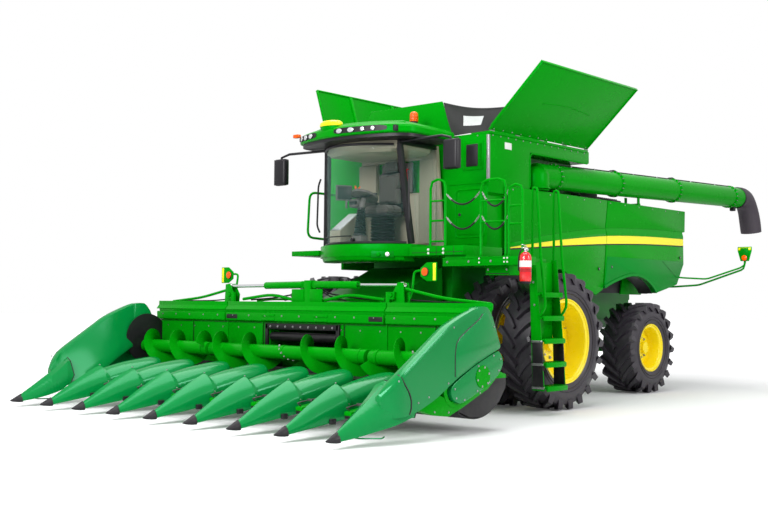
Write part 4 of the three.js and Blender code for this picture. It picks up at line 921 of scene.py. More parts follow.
def skid(bm, x0, x1):
    """Dark curved shell under the auger trough."""
    angles = [math.radians(-128 + 7 * i) for i in range(15)]
    arc = [[around(AUGER, r, a) for a in angles] for r in (0.634, 0.624)]
    plate(bm, "x", [*arc[0], *reversed(arc[1])], x0, x1)


FOLD_X, WING_IN, WING_OUT = 1.545, 1.557, 3.20
hoods, tips, bolts = shapes(3)
for i in (-2, -1, 0, 1, 2):
    row_hood(hoods, tips, bolts, i * ROW)
block(hoods, (-2 * ROW, 2 * ROW), (-3.54, -3.48), (0.44, 0.56), 0.008)
place("row_hoods", "feeder", "hood_plastic", (hoods, hood_plastic), (tips, moulded), (bolts, steel),
      replaces=["row_hoods_centre"], sharp=40)
for side, sign in SIDES:
    hood, dark, bolts, bright, lamps = end_divider(sign)
    row_hood(hood, dark, bolts, sign * 3 * ROW)
    block(hood, (sign * 2.7 * ROW, sign * 3.0), (-3.54, -3.48), (0.44, 0.56), 0.008)
    place(f"{side}_wing_hoods", f"{side}_wing", "hood_plastic", (hood, hood_plastic), (dark, moulded),
          (bolts, steel), (bright, paint), (lamps, amber), replaces=[f"dividers_{side}_wing"], sharp=36)


FLIGHT_IN, FLIGHT_OUT, FLIGHT_PITCH, FLIGHT_THICK = 0.085, 0.255, 0.62, 0.007


def flight(bm, start, end, hand):
    """Helical flighting: a thin ribbon wound round the auger."""
    length = abs(end - start)
    steps = round(length / FLIGHT_PITCH * 30)
    half = FLIGHT_THICK / 2
    rings = []
    for i in range(steps + 1):
        share = i / steps
        angle = hand * share * length / FLIGHT_PITCH * 2 * math.pi
        x = start + (end - start) * share
        corners = ((-half, FLIGHT_IN), (-half, FLIGHT_OUT), (half, FLIGHT_OUT), (half, FLIGHT_IN))
        rings.append([(x + slide, *around(AUGER, r, angle))
                      for slide, r in corners])
    loft(bm, rings)


def auger(name, body, node, x0, x1, flights):
    """One header auger: tube, collars, flighting and bolts."""
    bm, bolts = shapes(2)
    for start, end, hand in flights:
        flight(bm, start, end, hand)
    rod(bm, (x0, *AUGER), (x1, *AUGER), 0.095, sides=40, lip=0.008)
    for x in (x0 + 0.12, (x0 + x1) / 2, x1 - 0.12):
        turned(bm, [(-0.02, 0.09), (-0.02, 0.102), (0.02, 0.102), (0.02, 0.09), (-0.02, 0.09)], (x, *AUGER),
               40)
    for k in range(12):  # retracting fingers' guides round the middle
        angle = 2 * math.pi * k / 12
        x = (x0 + x1) / 2 + (k - 5.5) * 0.045
        bolt(bolts, (x, *around(AUGER, 0.094, angle)), (0, math.cos(angle), math.sin(angle)), 0.012, 0.008)
    place(name, body, "green_paint", (bm, paint), (bolts, steel), replaces=[node], sharp=40)


auger("centre_auger", "header_auger_centre", "header_auger_centre", -FOLD_X + 0.03, FOLD_X - 0.03,
      [(-FOLD_X + 0.04, -0.25, 1), (FOLD_X - 0.04, 0.25, -1)])
for side, sign in SIDES:
    near, far = sign * (WING_IN + 0.02), sign * (WING_OUT - 0.08)
    auger(f"{side}_auger", f"{side}_wing_auger", f"header_auger_{side}_wing", *sorted((near, far)),
          [(far - sign * 0.01, near + sign * 0.02, -sign)])


def gathering_unit(bm, chain, x):
    """Deck plate and gathering chain loops either side of one row's slot."""
    for sign in (-1, 1):
        out = x + sign * 0.0975
        block(bm, sorted((x + sign * 0.045, x + sign * 0.15)), (-4.50, -3.40), (0.262, 0.300), 0.006,
              tilt(5, "X"))
        loop = curve([(-4.47, 0.305), (-4.50, 0.325), (-4.47, 0.345), (-3.95, 0.392), (-3.46, 0.436),
                      (-3.43, 0.42), (-3.46, 0.40), (-3.95, 0.352), (-4.47, 0.305)], 3)
        tube(chain, [(out, y, z) for y, z in loop[:-1]], 0.009, 0, 6)
        for k in range(5):
            y = -4.38 + k * 0.2
            block(chain, sorted((out - sign * 0.012, out - sign * 0.085)), (y, y + 0.012),
                  (0.350 + k * 0.018, 0.378 + k * 0.018), 0.002)


def header_trim(x0, x1, rows_here, seams):
    """Bent strip, edge channel, seams and bolts on the back sheet, plus the row units' chains."""
    bright, dark, bolts, chains = shapes(4)
    low, high = sorted((x0, x1))
    plate(bright, "x", [(-2.742, 1.315), (-2.742, 1.190), (-2.752, 1.182), (-2.800, 1.196), (-2.806, 1.206),
                        (-2.806, 1.300), (-2.800, 1.310)], low + 0.01, high - 0.01, 0.004)
    plate(bright, "x", [(-2.745, 1.462), (-2.745, 1.40), (-2.80, 1.345), (-2.812, 1.352), (-2.765, 1.41),
                        (-2.765, 1.468)], low + 0.004, high - 0.004, 0.003)
    count = max(3, round((high - low) / 0.36))
    for k in range(count):
        x = low + (k + 0.5) * (high - low) / count
        bolt(bolts, (x, -2.806, 1.27), (0, -1, 0), 0.009, 0.006)
        bolt(bolts, (x + 0.05, -2.741, 1.10), (0, -1, 0), 0.008, 0.005)
    block(dark, (low + 0.005, high - 0.005), (-2.745, -2.7395), (1.168, 1.182), 0.001)
    for x in seams:
        block(dark, about(x, 0.004), (-2.745, -2.739), (0.62, 1.18), 0.001)
        block(bright, (x - 0.022, x - 0.008), (-2.760, -2.740), (0.62, 1.18), 0.003)
    for x in rows_here:
        gathering_unit(dark, chains, x)
    skid(dark, low + 0.02, high - 0.02)
    return bright, dark, bolts, chains


OPENING = 0.665
bright, dark, bolts, chains = header_trim(-FOLD_X, FOLD_X, [i * ROW for i in (-1.5, -0.5, 0.5, 1.5)],
                                          (-0.78, 0.80))
# black frame, roller and upper shaft in the feeding mouth
for z0, z1 in ((1.085, 1.165), (0.50, 0.53)):
    block(dark, (-OPENING - 0.05, OPENING + 0.05), (-2.775, -2.735), (z0, z1), 0.008)
for sign in (-1, 1):
    block(dark, sorted((sign * OPENING, sign * (OPENING + 0.06))), (-2.775, -2.735), (0.50, 1.165), 0.008)
rod(dark, (-OPENING + 0.02, -2.70, 0.985), (OPENING - 0.02, -2.70, 0.985), 0.062, sides=28, lip=0.01)
block(dark, (-OPENING + 0.03, OPENING - 0.03), (-2.735, -2.715), (0.80, 0.865), 0.006)
block(dark, (-OPENING + 0.03, OPENING - 0.03), (-2.70, -2.66), (0.70, 0.74), 0.006)
for k in range(9):
    x = -OPENING + 0.06 + k * (2 * OPENING - 0.12) / 8
    bolt(bolts, (x, -2.776, 1.125), (0, -1, 0), 0.011, 0.008)
    block(dark, about(x, 0.008), (-2.76, -2.70), (0.735, 0.80), 0.002)
# hinge plates on the bent strip and the mast that carries both fold cylinders
for x in (-0.62, 0.42):
    block(bright, about(x, 0.13), (-2.815, -2.80), (1.205, 1.235), 0.004)
    block(bright, about(x, 0.13), (-2.815, -2.80), (1.262, 1.292), 0.004)
for x in (-1.40, 1.40):
    block(dark, about(x, 0.12), (-2.81, -2.80), (1.22, 1.285), 0.006)
for sign in (-1, 1):
    block(bright, span(sign, 0.06, 0.30), (-2.67, -2.655), (1.44, 1.64), 0.006)
    tube(bright, [(sign * 0.20, -2.61, 1.47), (sign * 0.75, -2.61, 1.57), (sign * 1.38, -2.61, 1.50)], 0.022,
         0.2, 10)
    tube(dark, [(sign * 0.14, -2.545, 1.66), (sign * 0.30, -2.535, 1.58), (sign * 0.80, -2.53, 1.52),
                (sign * 1.30, -2.53, 1.49)], 0.011, 0.1, 8)
    tube(dark, [(sign * 0.10, -2.52, 1.64), (sign * 0.26, -2.515, 1.55), (sign * 0.60, -2.515, 1.485)], 0.010,
         0.1, 8)
tube(bright, [(-1.2, -2.50, 1.475), (-0.9, -2.49, 1.50), (0.9, -2.49, 1.50), (1.2, -2.50, 1.475)], 0.016, 0.1,
     8)
place("header_trim_centre", "feeder", "green_paint", (bright, paint), (dark, black_paint), (bolts, steel),
      (chains, dark_steel))
for side, sign in SIDES:
    bright, dark, bolts, chains = header_trim(
        sign * WING_IN, sign * WING_OUT, [sign * 2.5 * ROW, sign * 3.5 * ROW], [sign * 2.35])
    # sloping stay from the fold pin's ears down to the wing's far end
    tube(bright, [(sign * 1.72, -2.60, 1.64), (sign * 2.35, -2.60, 1.52), (sign * 3.05, -2.60, 1.46)], 0.020,
         0.2, 10)
    tube(dark, [(sign * 1.75, -2.53, 1.50), (sign * 2.2, -2.52, 1.475), (sign * 2.9, -2.52, 1.468)], 0.010,
         0.1, 8)
    place(f"header_trim_{side}", f"{side}_wing", "green_paint", (bright, paint), (dark, black_paint),
          (bolts, steel), (chains, dark_steel))
for part in ("centre", "left_wing", "right_wing"):
    refine(f"header_frame_{part}", paint, 0.004, second=black_paint, cut=0.60,
           where=lambda c: c.z < 0.599 and c.y > -3.42)

# ---- side panels ----

SIDE_X, SIDE_SEAM = 1.64, 2.37
CREASE_TOP = [(-0.33, 2.318), (0.40, 2.440), (1.19, 2.560), (2.43, 2.690), (3.70, 2.745), (5.02, 2.763)]
CREASE_LOW = [(-0.33, 2.300), (0.40, 2.400), (1.19, 2.500), (2.43, 2.612), (3.70, 2.662), (5.00, 2.676)]
STRIPE_TOP = [(-0.31, 2.262), (0.40, 2.357), (1.19, 2.452), (2.43, 2.566), (3.70, 2.618), (4.985, 2.637)]
STRIPE_LOW = [(-0.31, 2.250), (0.40, 2.300), (1.19, 2.360), (2.43, 2.438), (3.70, 2.492), (4.985, 2.518)]
FENDER_TOP = 2.235
ARCH = curve([(2.295, 1.722), (2.52, 1.800), (2.82, 1.878), (3.06, 1.925), (3.30, 1.940), (3.52, 1.915),
              (3.70, 1.855), (3.86, 1.765), (3.98, 1.665)], 3)
FRONT_FOOT = [(2.262, 1.705), (2.05, 1.612), (1.60, 1.780), (1.08, 1.990), (-0.32, 1.990)]
REAR_FOOT = [(4.35, 1.738), (4.74, 1.822), (5.01, 2.190)]


def cut_line(line, start, end):
    """The part of a line over y between two values."""
    def at(y):
        for (a, u), (b, v) in zip(line, line[1:]):
            if a <= y <= b:
                return (y, u + (v - u) * (y - a) / (b - a))
        return line[-1]
    return [at(start), *[p for p in line if start < p[0] < end], at(end)]


def side_panel(part, sign):
    """A side panel with its crease, stripe, lower skin, arch lip and latches."""
    front = part == "front"
    start, end = (-0.325, SIDE_SEAM - 0.006) if front else (SIDE_SEAM + 0.006, 5.0)
    skin, stripe, line, fender, dark, bolts = shapes(6)

    def x(out):
        return sign * (SIDE_X + out)

    crease, ledge = [cut_line(curve(edge), start, end) for edge in (CREASE_TOP, CREASE_LOW)]
    top = [(end + 0.08, 3.142), (start, 3.142)] if front else [(5.118, 3.142), (start + 0.085, 3.142)]
    upper = [*crease, *([] if front else [(5.10, 2.766)]), *top]
    plate(skin, "x", upper, x(-0.040), x(-0.004), 0.010)
    foot = FRONT_FOOT if front else [*reversed(REAR_FOOT), *reversed(ARCH)]
    plate(skin, "x", [*ledge, *foot], x(-0.040), x(0.018), 0.008)
    rings = []
    for (y, high), (_, low) in zip(crease, ledge):
        rings.append([(x(-0.03), y, high + 0.004), (x(-0.006), y, high), (x(0.018), y, low - 0.004),
                      (x(-0.03), y, low - 0.004)])
    loft(skin, rings)
    over, under = [cut_line(curve(edge), max(start, -0.31), min(end, 4.985))
                   for edge in (STRIPE_TOP, STRIPE_LOW)]
    plate(line, "x", [*[(y, z + 0.004) for y, z in over], *[(y, z - 0.020) for y, z in reversed(under)]],
          x(0.012), x(0.0195))
    plate(stripe, "x", [*over, *reversed(under)], x(0.012), x(0.0215))
    if front:
        block(fender, sorted((x(-0.03), x(0.012))), (-0.31, 0.95), (1.992, 2.03), 0.004)
        spots = [(2.13, 2.03), (-0.20, 2.10)]
    else:
        low_skin = [(SIDE_SEAM + 0.012, FENDER_TOP), (2.30, 1.736), *ARCH,
                    *[(y, z + 0.004) for y, z in REAR_FOOT[:2]], (4.985, 2.185), (4.985, FENDER_TOP)]
        plate(fender, "x", low_skin, x(-0.02), x(0.026), 0.006)
        band(fender, "x", ARCH, x(-0.060), x(0.040), 0.042)
        band(dark, "x", [(y, z - 0.006) for y, z in ARCH], x(-0.30), x(-0.05), 0.012)
        tube(line, [(x(0.0262), 4.20, FENDER_TOP - 0.01), (x(0.0262), 4.72, 1.95)], 0.003, 0, 6)
        spots = [(2.52, 2.07), (4.86, 2.30)]
    for y, z in spots:
        rod(dark, (x(0.012), y, z), (x(0.030), y, z), 0.024, sides=20, lip=0.003)
        rod(bolts, (x(0.030), y, z), (x(0.033), y, z), 0.012, sides=12)
    for k in range(6):
        y = start + 0.15 + k * (end - start - 0.3) / 5
        bolt(bolts, (x(-0.004), y, 3.10), (sign, 0, 0), 0.008, 0.004)
    body = f"side_panel_{part}_{'left' if sign > 0 else 'right'}"
    if not front and sign < 0:
        centre = (-SIDE_X, 3.55, 2.62)
        turned(dark, [(-0.058, 0.0), (-0.058, 0.36), (-0.066, 0.37), (-0.070, 0.40), (-0.02, 0.405),
                      (0.02, 0.40), (0.02, 0.0)], centre, 48)
        for r in (0.08, 0.14, 0.20, 0.26, 0.32):
            turned(bolts, [(-0.061, r), (-0.064, r + 0.004), (-0.061, r + 0.008), (-0.056, r + 0.004),
                           (-0.061, r)], centre, 40)
        for angle in turns(12):
            way = Vector((0, math.cos(angle), math.sin(angle)))
            at = Vector(centre) + Vector((-0.060, 0, 0))
            rod(bolts, at + way * 0.06, at + way * 0.35, 0.004, sides=6)
        block(skin, (-SIDE_X - 0.085, -SIDE_X - 0.062), (3.50, 3.60), (2.62, 2.99), 0.010)
        rod(skin, (-SIDE_X - 0.085, 3.55, 2.62), (-SIDE_X - 0.05, 3.55, 2.62), 0.06, sides=24, lip=0.006)
    place(body + "_skin", body, "green_paint", (skin, paint), (line, black_paint), (stripe, stripe_yellow),
          (fender, lower_plastic), (dark, moulded), (bolts, steel), replaces=[body], sharp=30)


for side, sign in SIDES:
    for part in ("front", "rear"):
        side_panel(part, sign)

# ---- grain tank, covers and gussets ----

tank_black, tank_green, tank_steel, tank_white = shapes(4)
block(tank_green, (1.145, 1.50), (-0.712, -0.698), (3.355, 3.77), 0.010)
block(tank_black, (1.205, 1.415), (-0.724, -0.700), (3.405, 3.725), 0.030, segments=3)
block(tank_black, (1.225, 1.395), (-0.728, -0.716), (3.425, 3.705), 0.020, segments=3)
for k in range(22):  # ribbed vent strip beside the window
    z = 3.405 + k * 0.0148
    block(tank_green, (1.440, 1.485), (-0.722, -0.708), (z, z + 0.0075), 0.002, segments=1)
block(tank_green, (0.90, 1.575), (-0.712, -0.696), (3.158, 3.178), 0.006)
block(tank_green, (0.90, 1.575), (-0.706, -0.698), (2.30, 3.12), 0.004)
rim_points = rounded([(1.02, -0.708, 2.40), (1.02, -0.708, 3.08), (1.53, -0.708, 3.08), (1.53, -0.708, 2.40),
                      (1.02, -0.708, 2.40), (1.02, -0.708, 2.60)], 0.07, 5)
tube(tank_green, rim_points, 0.010, 0, 8)
block(tank_green, (1.055, 1.495), (-0.716, -0.704), (2.44, 3.04), 0.012)
rod(tank_green, (1.10, -0.722, 2.727), (1.10, -0.712, 2.727), 0.040, sides=24, lip=0.004)
rod(tank_black, (1.10, -0.730, 2.727), (1.10, -0.720, 2.727), 0.024, sides=20, lip=0.003)
block(tank_steel, (1.562, 1.597), (-0.712, -0.698), (3.18, 3.84), 0.004)
block(tank_steel, (1.588, 1.598), (-0.712, -0.670), (3.18, 3.84), 0.003)
block(tank_white, (1.588, 1.597), (-0.315, -0.150), (3.675, 3.772), 0.004)
for sign in (-1, 1):
    for k in range(14):
        bolt(tank_steel, (sign * 1.591, -0.60 + k * 0.185, 3.838), (sign, 0, 0), 0.008, 0.005)
for k in range(9):
    bolt(tank_steel, (-1.4 + k * 0.35, -0.701, 3.84), (0, -1, 0), 0.008, 0.005)
for x in (-1.598, 1.598):  # hinge rails and the front and rear sills
    block(tank_green, about(x, 0.005), (-0.700, 1.900), (3.858, 3.894), 0.002)
for y in (-0.690, 1.935):
    block(tank_green, (-1.590, 1.590), about(y, 0.012), (3.858, 3.872), 0.004)
# edge of the recess that the unloading tube lies in
tube(tank_green, [(1.585, 0.32, 3.18), (1.585, 0.32, 3.685), (1.585, 1.90, 3.685)], 0.014, 0.09, 10)
EXHAUST, CANISTER = (0.30, 3.95), (-0.25, 2.75)
# light bar and hoses along the deck under the tube
block(tank_black, (0.95, 1.30), (2.05, 2.70), (3.14, 3.30), 0.03)
block(tank_black, (0.60, 1.25), (2.85, 3.55), (3.14, 3.24), 0.02)
for k in range(10):
    block(tank_black, (0.65, 1.20), (2.89 + k * 0.064, 2.915 + k * 0.064), (3.235, 3.262), 0.004, segments=1)
rod(tank_steel, (*EXHAUST, 3.13), (*EXHAUST, 3.62), 0.075, sides=32, lip=0.006)
rod(tank_black, (*EXHAUST, 3.13), (*EXHAUST, 3.30), 0.105, sides=32, lip=0.01)
for z in (3.18, 3.25):
    tube(tank_black, [(1.45, 0.95, z), (1.42, 1.5, z - 0.01), (1.40, 2.0, z - 0.03), (1.10, 2.3, 3.16)],
         0.016, 0.1, 8)
# cradle that carries the stored tube
block(tank_green, (1.34, 1.62), (3.46, 3.54), (3.12, 3.17), 0.006)
for x in (1.36, 1.60):
    block(tank_green, about(x, 0.012), (3.47, 3.53), (3.15, 3.34 if x > 1.5 else 3.28), 0.004)
place("tank_fittings", "machine", "green_paint", (tank_green, paint), (tank_black, moulded),
      (tank_steel, steel), (tank_white, white_film), sharp=35)

GUSSET_Y = -0.655  # plane it is stretched in
hinge = Vector((1.575, GUSSET_Y, 3.902))
rise = math.radians(43)
top_out = hinge + Vector((math.cos(rise), 0, math.sin(rise))) * 0.43
top_in, low_in = Vector((0.745, GUSSET_Y, 4.385)), Vector((0.915, GUSSET_Y, 3.885))
columns, levels = 26, 16
cloth_bm, window_bm = shapes(2)
grid = {}
for i in range(columns + 1):
    for j in range(levels + 1):
        u, v = i / columns, j / levels
        at = (low_in.lerp(hinge, u)).lerp(top_in.lerp(top_out, u), v)
        at.z -= 0.05 * math.sin(math.pi * u) * v  # slack along the top hem
        at.y -= 0.014 * math.sin(7 * u + 3 * v) * math.sin(math.pi * v) + 0.012 * math.sin(math.pi * u)
        grid[i, j] = at
verts = {key: cloth_bm.verts.new(at) for key, at in grid.items()}
for i in range(columns):
    for j in range(levels):
        if 8 <= i < 18 and 5 <= j < 11:
            continue  # the clear window is sewn in here
        cloth_bm.faces.new([verts[i, j], verts[i + 1, j], verts[i + 1, j + 1], verts[i, j + 1]])
panes = {(i, j): window_bm.verts.new(grid[i, j] + Vector((0, 0.003, 0)))
         for i in range(7, 20) for j in range(4, 13)}
for i in range(7, 19):
    for j in range(4, 12):
        window_bm.faces.new([panes[i, j], panes[i + 1, j], panes[i + 1, j + 1], panes[i, j + 1]])
for bm, thick in ((cloth_bm, 0.004), (window_bm, 0.0012)):
    bmesh.ops.recalc_face_normals(bm, faces=bm.faces)
    bmesh.ops.solidify(bm, geom=bm.faces[:], thickness=thick)
cloth_piece = place("gusset_left", "machine", "black_plastic", (cloth_bm, gusset_cloth), sharp=60)
hem = new()
tube(hem, [grid[i, levels] for i in range(0, columns + 1, 2)], 0.010, 0, 8)
tube(hem, [grid[0, j] for j in range(0, levels + 1, 2)], 0.006, 0, 6)
hem_piece = place("gusset_hem_left", "machine", "black_plastic", (hem, gusset_cloth), sharp=60)
window_piece = place("gusset_window_left", "machine", "cab_glass", (window_bm, film_window), sharp=60)
for piece in (cloth_piece, hem_piece, window_piece):
    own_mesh(piece)

# ---- unloading auger ----

TUBE_START, TUBE_END = Vector((1.5, 0.6, 3.38)), Vector((1.712, 7.1, 3.54))
TUBE_R = 0.190
tube_way = (TUBE_END - TUBE_START).normalized()
skin, bolts, dark = shapes(3)
rod(skin, TUBE_START - tube_way * 0.02, TUBE_END, TUBE_R, sides=56)
ball(skin, TUBE_START, 0.203, (1, 1, 0.72), 40)
rod(skin, (1.5, 0.6, 3.178), (1.5, 0.6, 3.40), 0.205, sides=48, lip=0.006)
rod(skin, (1.5, 0.6, 3.178), (1.5, 0.6, 3.198), 0.222, sides=48, lip=0.004)
for share in (0.065, 0.33, 0.62, 0.945):
    at = TUBE_START.lerp(TUBE_END, share)
    for back, forth, r in ((-0.017, -0.002, 0.213), (0.002, 0.017, 0.213)):
        rod(skin, at + tube_way * back, at + tube_way * forth, r, sides=56, lip=0.003)
    frame_at = ring_matrix(at, tube_way)
    for angle in turns(16):
        for side, head in ((1, 0.008), (-1, 0.006)):
            spot = frame_at @ Vector((*around((0, 0), 0.202, angle), side * 0.016))
            bolt(bolts, spot, side * tube_way, 0.008, head)
# cable and its clips along the crown, the end ring and the spout's lamp
for offset in (-0.02, 0.02):
    cable = []
    for s in (0.09, 0.20, 0.31, 0.33, 0.35, 0.48, 0.60, 0.62, 0.64, 0.80, 0.97):
        lift = TUBE_R + 0.012 + 0.03 * (s in (0.33, 0.62))
        cable.append(TUBE_START.lerp(TUBE_END, s) + Vector((offset - 0.02, 0, lift)))
    tube(dark, cable, 0.009, 0.04, 8)
for s in (0.14, 0.24, 0.42, 0.54, 0.72, 0.86):
    at = TUBE_START.lerp(TUBE_END, s)
    block(bolts, (at.x - 0.06, at.x + 0.02), about(at.y, 0.012),
          (at.z + TUBE_R - 0.012, at.z + TUBE_R + 0.024), 0.004)
rod(dark, TUBE_END - tube_way * 0.02, TUBE_END + tube_way * 0.02, 0.205, sides=48, lip=0.006)
lamp_at = TUBE_END - tube_way * 0.16 - Vector((0, 0, 0.22))
block(dark, about(lamp_at.x, 0.045), (lamp_at.y - 0.06, lamp_at.y + 0.03), about(lamp_at.z, 0.045),
      0.012)
rod(dark, lamp_at, lamp_at + Vector((0, 0, 0.05)), 0.014, sides=12)
place("unloading_tube", "unloader", "green_paint", (skin, paint), (bolts, steel), (dark, moulded),
      replaces=["unloading_auger"], sharp=40)
boot = new()
boot_line = curve([(7.08, 3.54), (7.26, 3.55), (7.43, 3.49), (7.56, 3.34), (7.64, 3.14), (7.70, 2.90)], 4)
boot_rings = []
for i, (y, z) in enumerate(boot_line):
    a, b = boot_line[max(i - 1, 0)], boot_line[min(i + 1, len(boot_line) - 1)]
    way = Vector((0, b[0] - a[0], b[1] - a[1])).normalized()
    out = Vector((1, 0, 0))
    side_way = way.cross(out)
    share = i / (len(boot_line) - 1)
    wide, deep = 0.196 + 0.006 * math.sin(9 * share), 0.200 - 0.028 * share
    centre = Vector((1.714 + 0.018 * share, y, z))
    boot_rings.append([centre + out * wide * math.cos(t) + side_way * deep * math.sin(t) for t in turns(28)])
loft(boot, boot_rings)
place("unloader_boot_skin", "unloader", "black_plastic", (boot, boot_rubber), replaces=["unloader_boot"],
      sharp=50)

# ---- cab ----


def bow(half, front, bulge, steps=24):
    """A line across the machine that bows forward in the middle."""
    return [(u * half, front - bulge * (1 - u * u)) for u in [2 * i / steps - 1 for i in range(steps + 1)]]


def roof_ring(inset, z, back=-0.80):
    """The roof's outline at one height, drawn in by inset."""
    front = [(x, y) for x, y in bow(1.12 - inset, -1.83 + inset * 0.5, 0.33 - inset * 0.12) if abs(x) < 0.96]
    corner = [(1.025, -1.855), (1.072, -1.795), (1.100, -1.715), (1.108, -1.62), (1.104, -1.45),
              (1.085, -1.15)]
    side = [(x - inset, y + inset * 0.5) for x, y in corner] + [(1.06 - inset, back - inset * 0.4)]
    return [(x, y, z) for x, y in [*front, *side, *[(-x, y) for x, y in reversed(side)]]]


def roof_front(x, out=0.0):
    """A point on the roof's bowed front edge and the way it faces."""
    way = Vector((x * 0.526, -1, 0)).normalized()
    return Vector((x, -1.83 - 0.33 * (1 - (x / 1.12) ** 2), 0)) + way * out, way


BEACON = (0.465, -1.0)
DOME = (-0.20, -2.03)  # receiver dome over the windscreen
roof, dark, lens, amber_bm, yellow_bm = shapes(5)
loft(roof, [roof_ring(*level) for level in ((0.030, 3.786), (0.006, 3.797), (0.0, 3.812), (0.004, 3.872),
                                            (0.020, 3.902), (0.060, 3.925), (0.125, 3.945), (0.175, 3.958),
                                            (0.205, 3.972), (0.240, 3.980))])
loft(dark, [[(x * 0.965, -1.5 + (y + 1.5) * 0.93, z) for x, y, _ in roof_ring(0.0, 0)]
            for z in (3.742, 3.788)])
LAMP_BARS = (  # ends, bottom and top of each bar, then every lamp's place, radius and width
    (-0.98, -0.42, 3.815, 3.893, [(-0.86, 0.030, 1.0), (-0.72, 0.034, 1.5), (-0.56, 0.034, 1.5)]),
    (-0.02, 0.82, 3.818, 3.896, [(0.09, 0.034, 1.5), (0.29, 0.034, 1.5), (0.475, 0.030, 1.0),
                                 (0.63, 0.030, 1.0)]),
)
for low_x, high_x, z0, z1, lamps_here in LAMP_BARS:
    outline = []
    steps = 18
    for i in range(steps + 1):
        x = low_x + (high_x - low_x) * i / steps
        point, way = roof_front(x, 0.004)
        outline.append((point, min(1, 6.5 * min(i, steps - i) / steps + 0.35)))
    rings = []
    for point, share in outline:
        z_mid, half = (z0 + z1) / 2, (z1 - z0) / 2 * share ** 0.5
        back = Vector((0, 0.05, 0))
        low, high = Vector((0, 0, z_mid - half)), Vector((0, 0, z_mid + half))
        rings.append([point + low, point + high, point + back + high, point + back + low])
    loft(dark, rings)
    for x, r, wide in lamps_here:
        point, way = roof_front(x, 0.006)
        at = point + Vector((0, 0, (z0 + z1) / 2 - 0.002))
        across = Vector((0, 0, 1)).cross(way)
        for shape, radius, start, reach in ((dark, r + 0.007, -0.01, 0.006), (lens, r, -0.005, 0.012)):
            before = set(shape.verts)
            rod(shape, at + way * start, at + way * reach, radius, sides=32, lip=0.004)
            for vert in set(shape.verts) - before:
                shift = (vert.co - at).dot(across)
                vert.co += across * shift * (wide - 1)
block(dark, (0.925, 0.965), (-1.975, -1.90), (3.80, 3.885), 0.006)
block(amber_bm, (-1.11, -1.00), (-1.93, -1.86), (3.895, 3.948), 0.012)
for bm, levels_here in (
        (roof, ((0.150, 3.86), (0.178, 3.885), (0.188, 3.925), (0.186, 3.965))),
        (yellow_bm, ((0.196, 3.962), (0.202, 3.985), (0.190, 4.015), (0.150, 4.038), (0.080, 4.048)))):
    loft(bm, [[(DOME[0] + r * math.cos(t), DOME[1] + r * 0.62 * math.sin(t), z) for t in turns(32)]
              for r, z in levels_here])
rod(dark, (*BEACON, 3.975), (*BEACON, 4.10), 0.062, 0.055, sides=28, lip=0.006)
rod(amber_bm, (*BEACON, 4.095), (*BEACON, 4.20), 0.064, 0.060, sides=32, lip=0.004)
ball(amber_bm, (*BEACON, 4.195), 0.060, (1, 1, 0.85), 28)
for z in (4.12, 4.145, 4.17):
    turned(amber_bm, [(z - 4.15, 0.062), (z - 4.146, 0.067), (z - 4.142, 0.062), (z - 4.15, 0.062)],
           (*BEACON, 4.15), 32, (0, 0, 1))
place("roof_shell", "machine", "green_paint", (roof, paint), (dark, moulded), (lens, clear_lens),
      (amber_bm, amber), (yellow_bm, yellow), replaces=["cab_roof"], sharp=40)

# inside: headliner, wall padding, console, wheel and column
trim_bm, dark, red, column, screen, pale, orange = shapes(7)
loft(trim_bm, [[(x, y * 0.93 - 0.11, z) for x, y in [*bow(h, -1.62, b, 12), (h, -0.84), (-h, -0.84)]] for h,
               b, z in ((0.60, 0.18, 3.585), (0.68, 0.24, 3.63), (0.71, 0.27, 3.70), (0.71, 0.27, 3.735))])
for x0, x1, z0, z1 in ((-0.80, -0.45, 2.32, 3.55), (0.45, 0.80, 2.32, 3.55), (-0.44, 0.44, 2.32, 3.05)):
    block(trim_bm, (x0 * (0.97 if z1 > 3.1 else 1), x1 * (0.93 if z1 > 3.1 else 1)), (-0.845, -0.808),
          (z0, z1), 0.02)
block(dark, (-0.30, 0.30), (-0.845, -0.80), (3.08, 3.54), 0.03)
block(dark, (-0.44, -0.26), (-1.42, -0.98), (2.86, 2.99), 0.03)
block(screen, (-0.46, -0.44), (-1.60, -1.38), (2.98, 3.17), 0.01, tilt(-25, "Z"))
block(dark, (-0.475, -0.455), (-1.62, -1.36), (2.96, 3.19), 0.012, tilt(-25, "Z"))
rod(dark, (-0.45, -1.45, 2.85), (-0.45, -1.45, 2.99), 0.018, sides=12)
rod(dark, (-0.35, -1.30, 2.99), (-0.35, -1.32, 3.09), 0.022, sides=14, lip=0.006)
ball(dark, (-0.35, -1.325, 3.11), 0.036, (1, 1, 1.2), 20)
block(red, (0.20, 0.235), (-0.852, -0.846), (3.18, 3.42), 0.004)
rod(red, (0.22, -0.862, 3.42), (0.22, -0.846, 3.42), 0.022, sides=16)
turned(column, [(-0.012, 0.185), (0.0, 0.197), (0.012, 0.185), (0.0, 0.173), (-0.012, 0.185)],
       (0, -1.545, 3.005), 44, (0, -0.22, 0.975))
for k in range(3):
    angle = 2 * math.pi * k / 3 + 0.5
    tube(column, [(0, -1.545, 3.000), (0.18 * math.cos(angle), -1.545 + 0.178 * math.sin(angle),
                                      3.004 + 0.040 * math.sin(angle))], 0.012, 0, 8)
rod(column, (0, -1.552, 2.96), (0, -1.543, 3.02), 0.045, 0.036, sides=24, lip=0.006)
profile = [(0.0, 0.0), (0.0, 0.098)]
for k in range(11):
    profile += [(0.012 + k * 0.034, 0.098 - 0.003 * k), (0.029 + k * 0.034, 0.080 - 0.003 * k)]
profile += [(0.40, 0.05), (0.40, 0.0)]
turned(column, profile, (0, -1.63, 2.425), 36, (0, 0.06, 0.998))
rod(column, (0, -1.60, 2.80), (0, -1.55, 2.98), 0.030, sides=20)
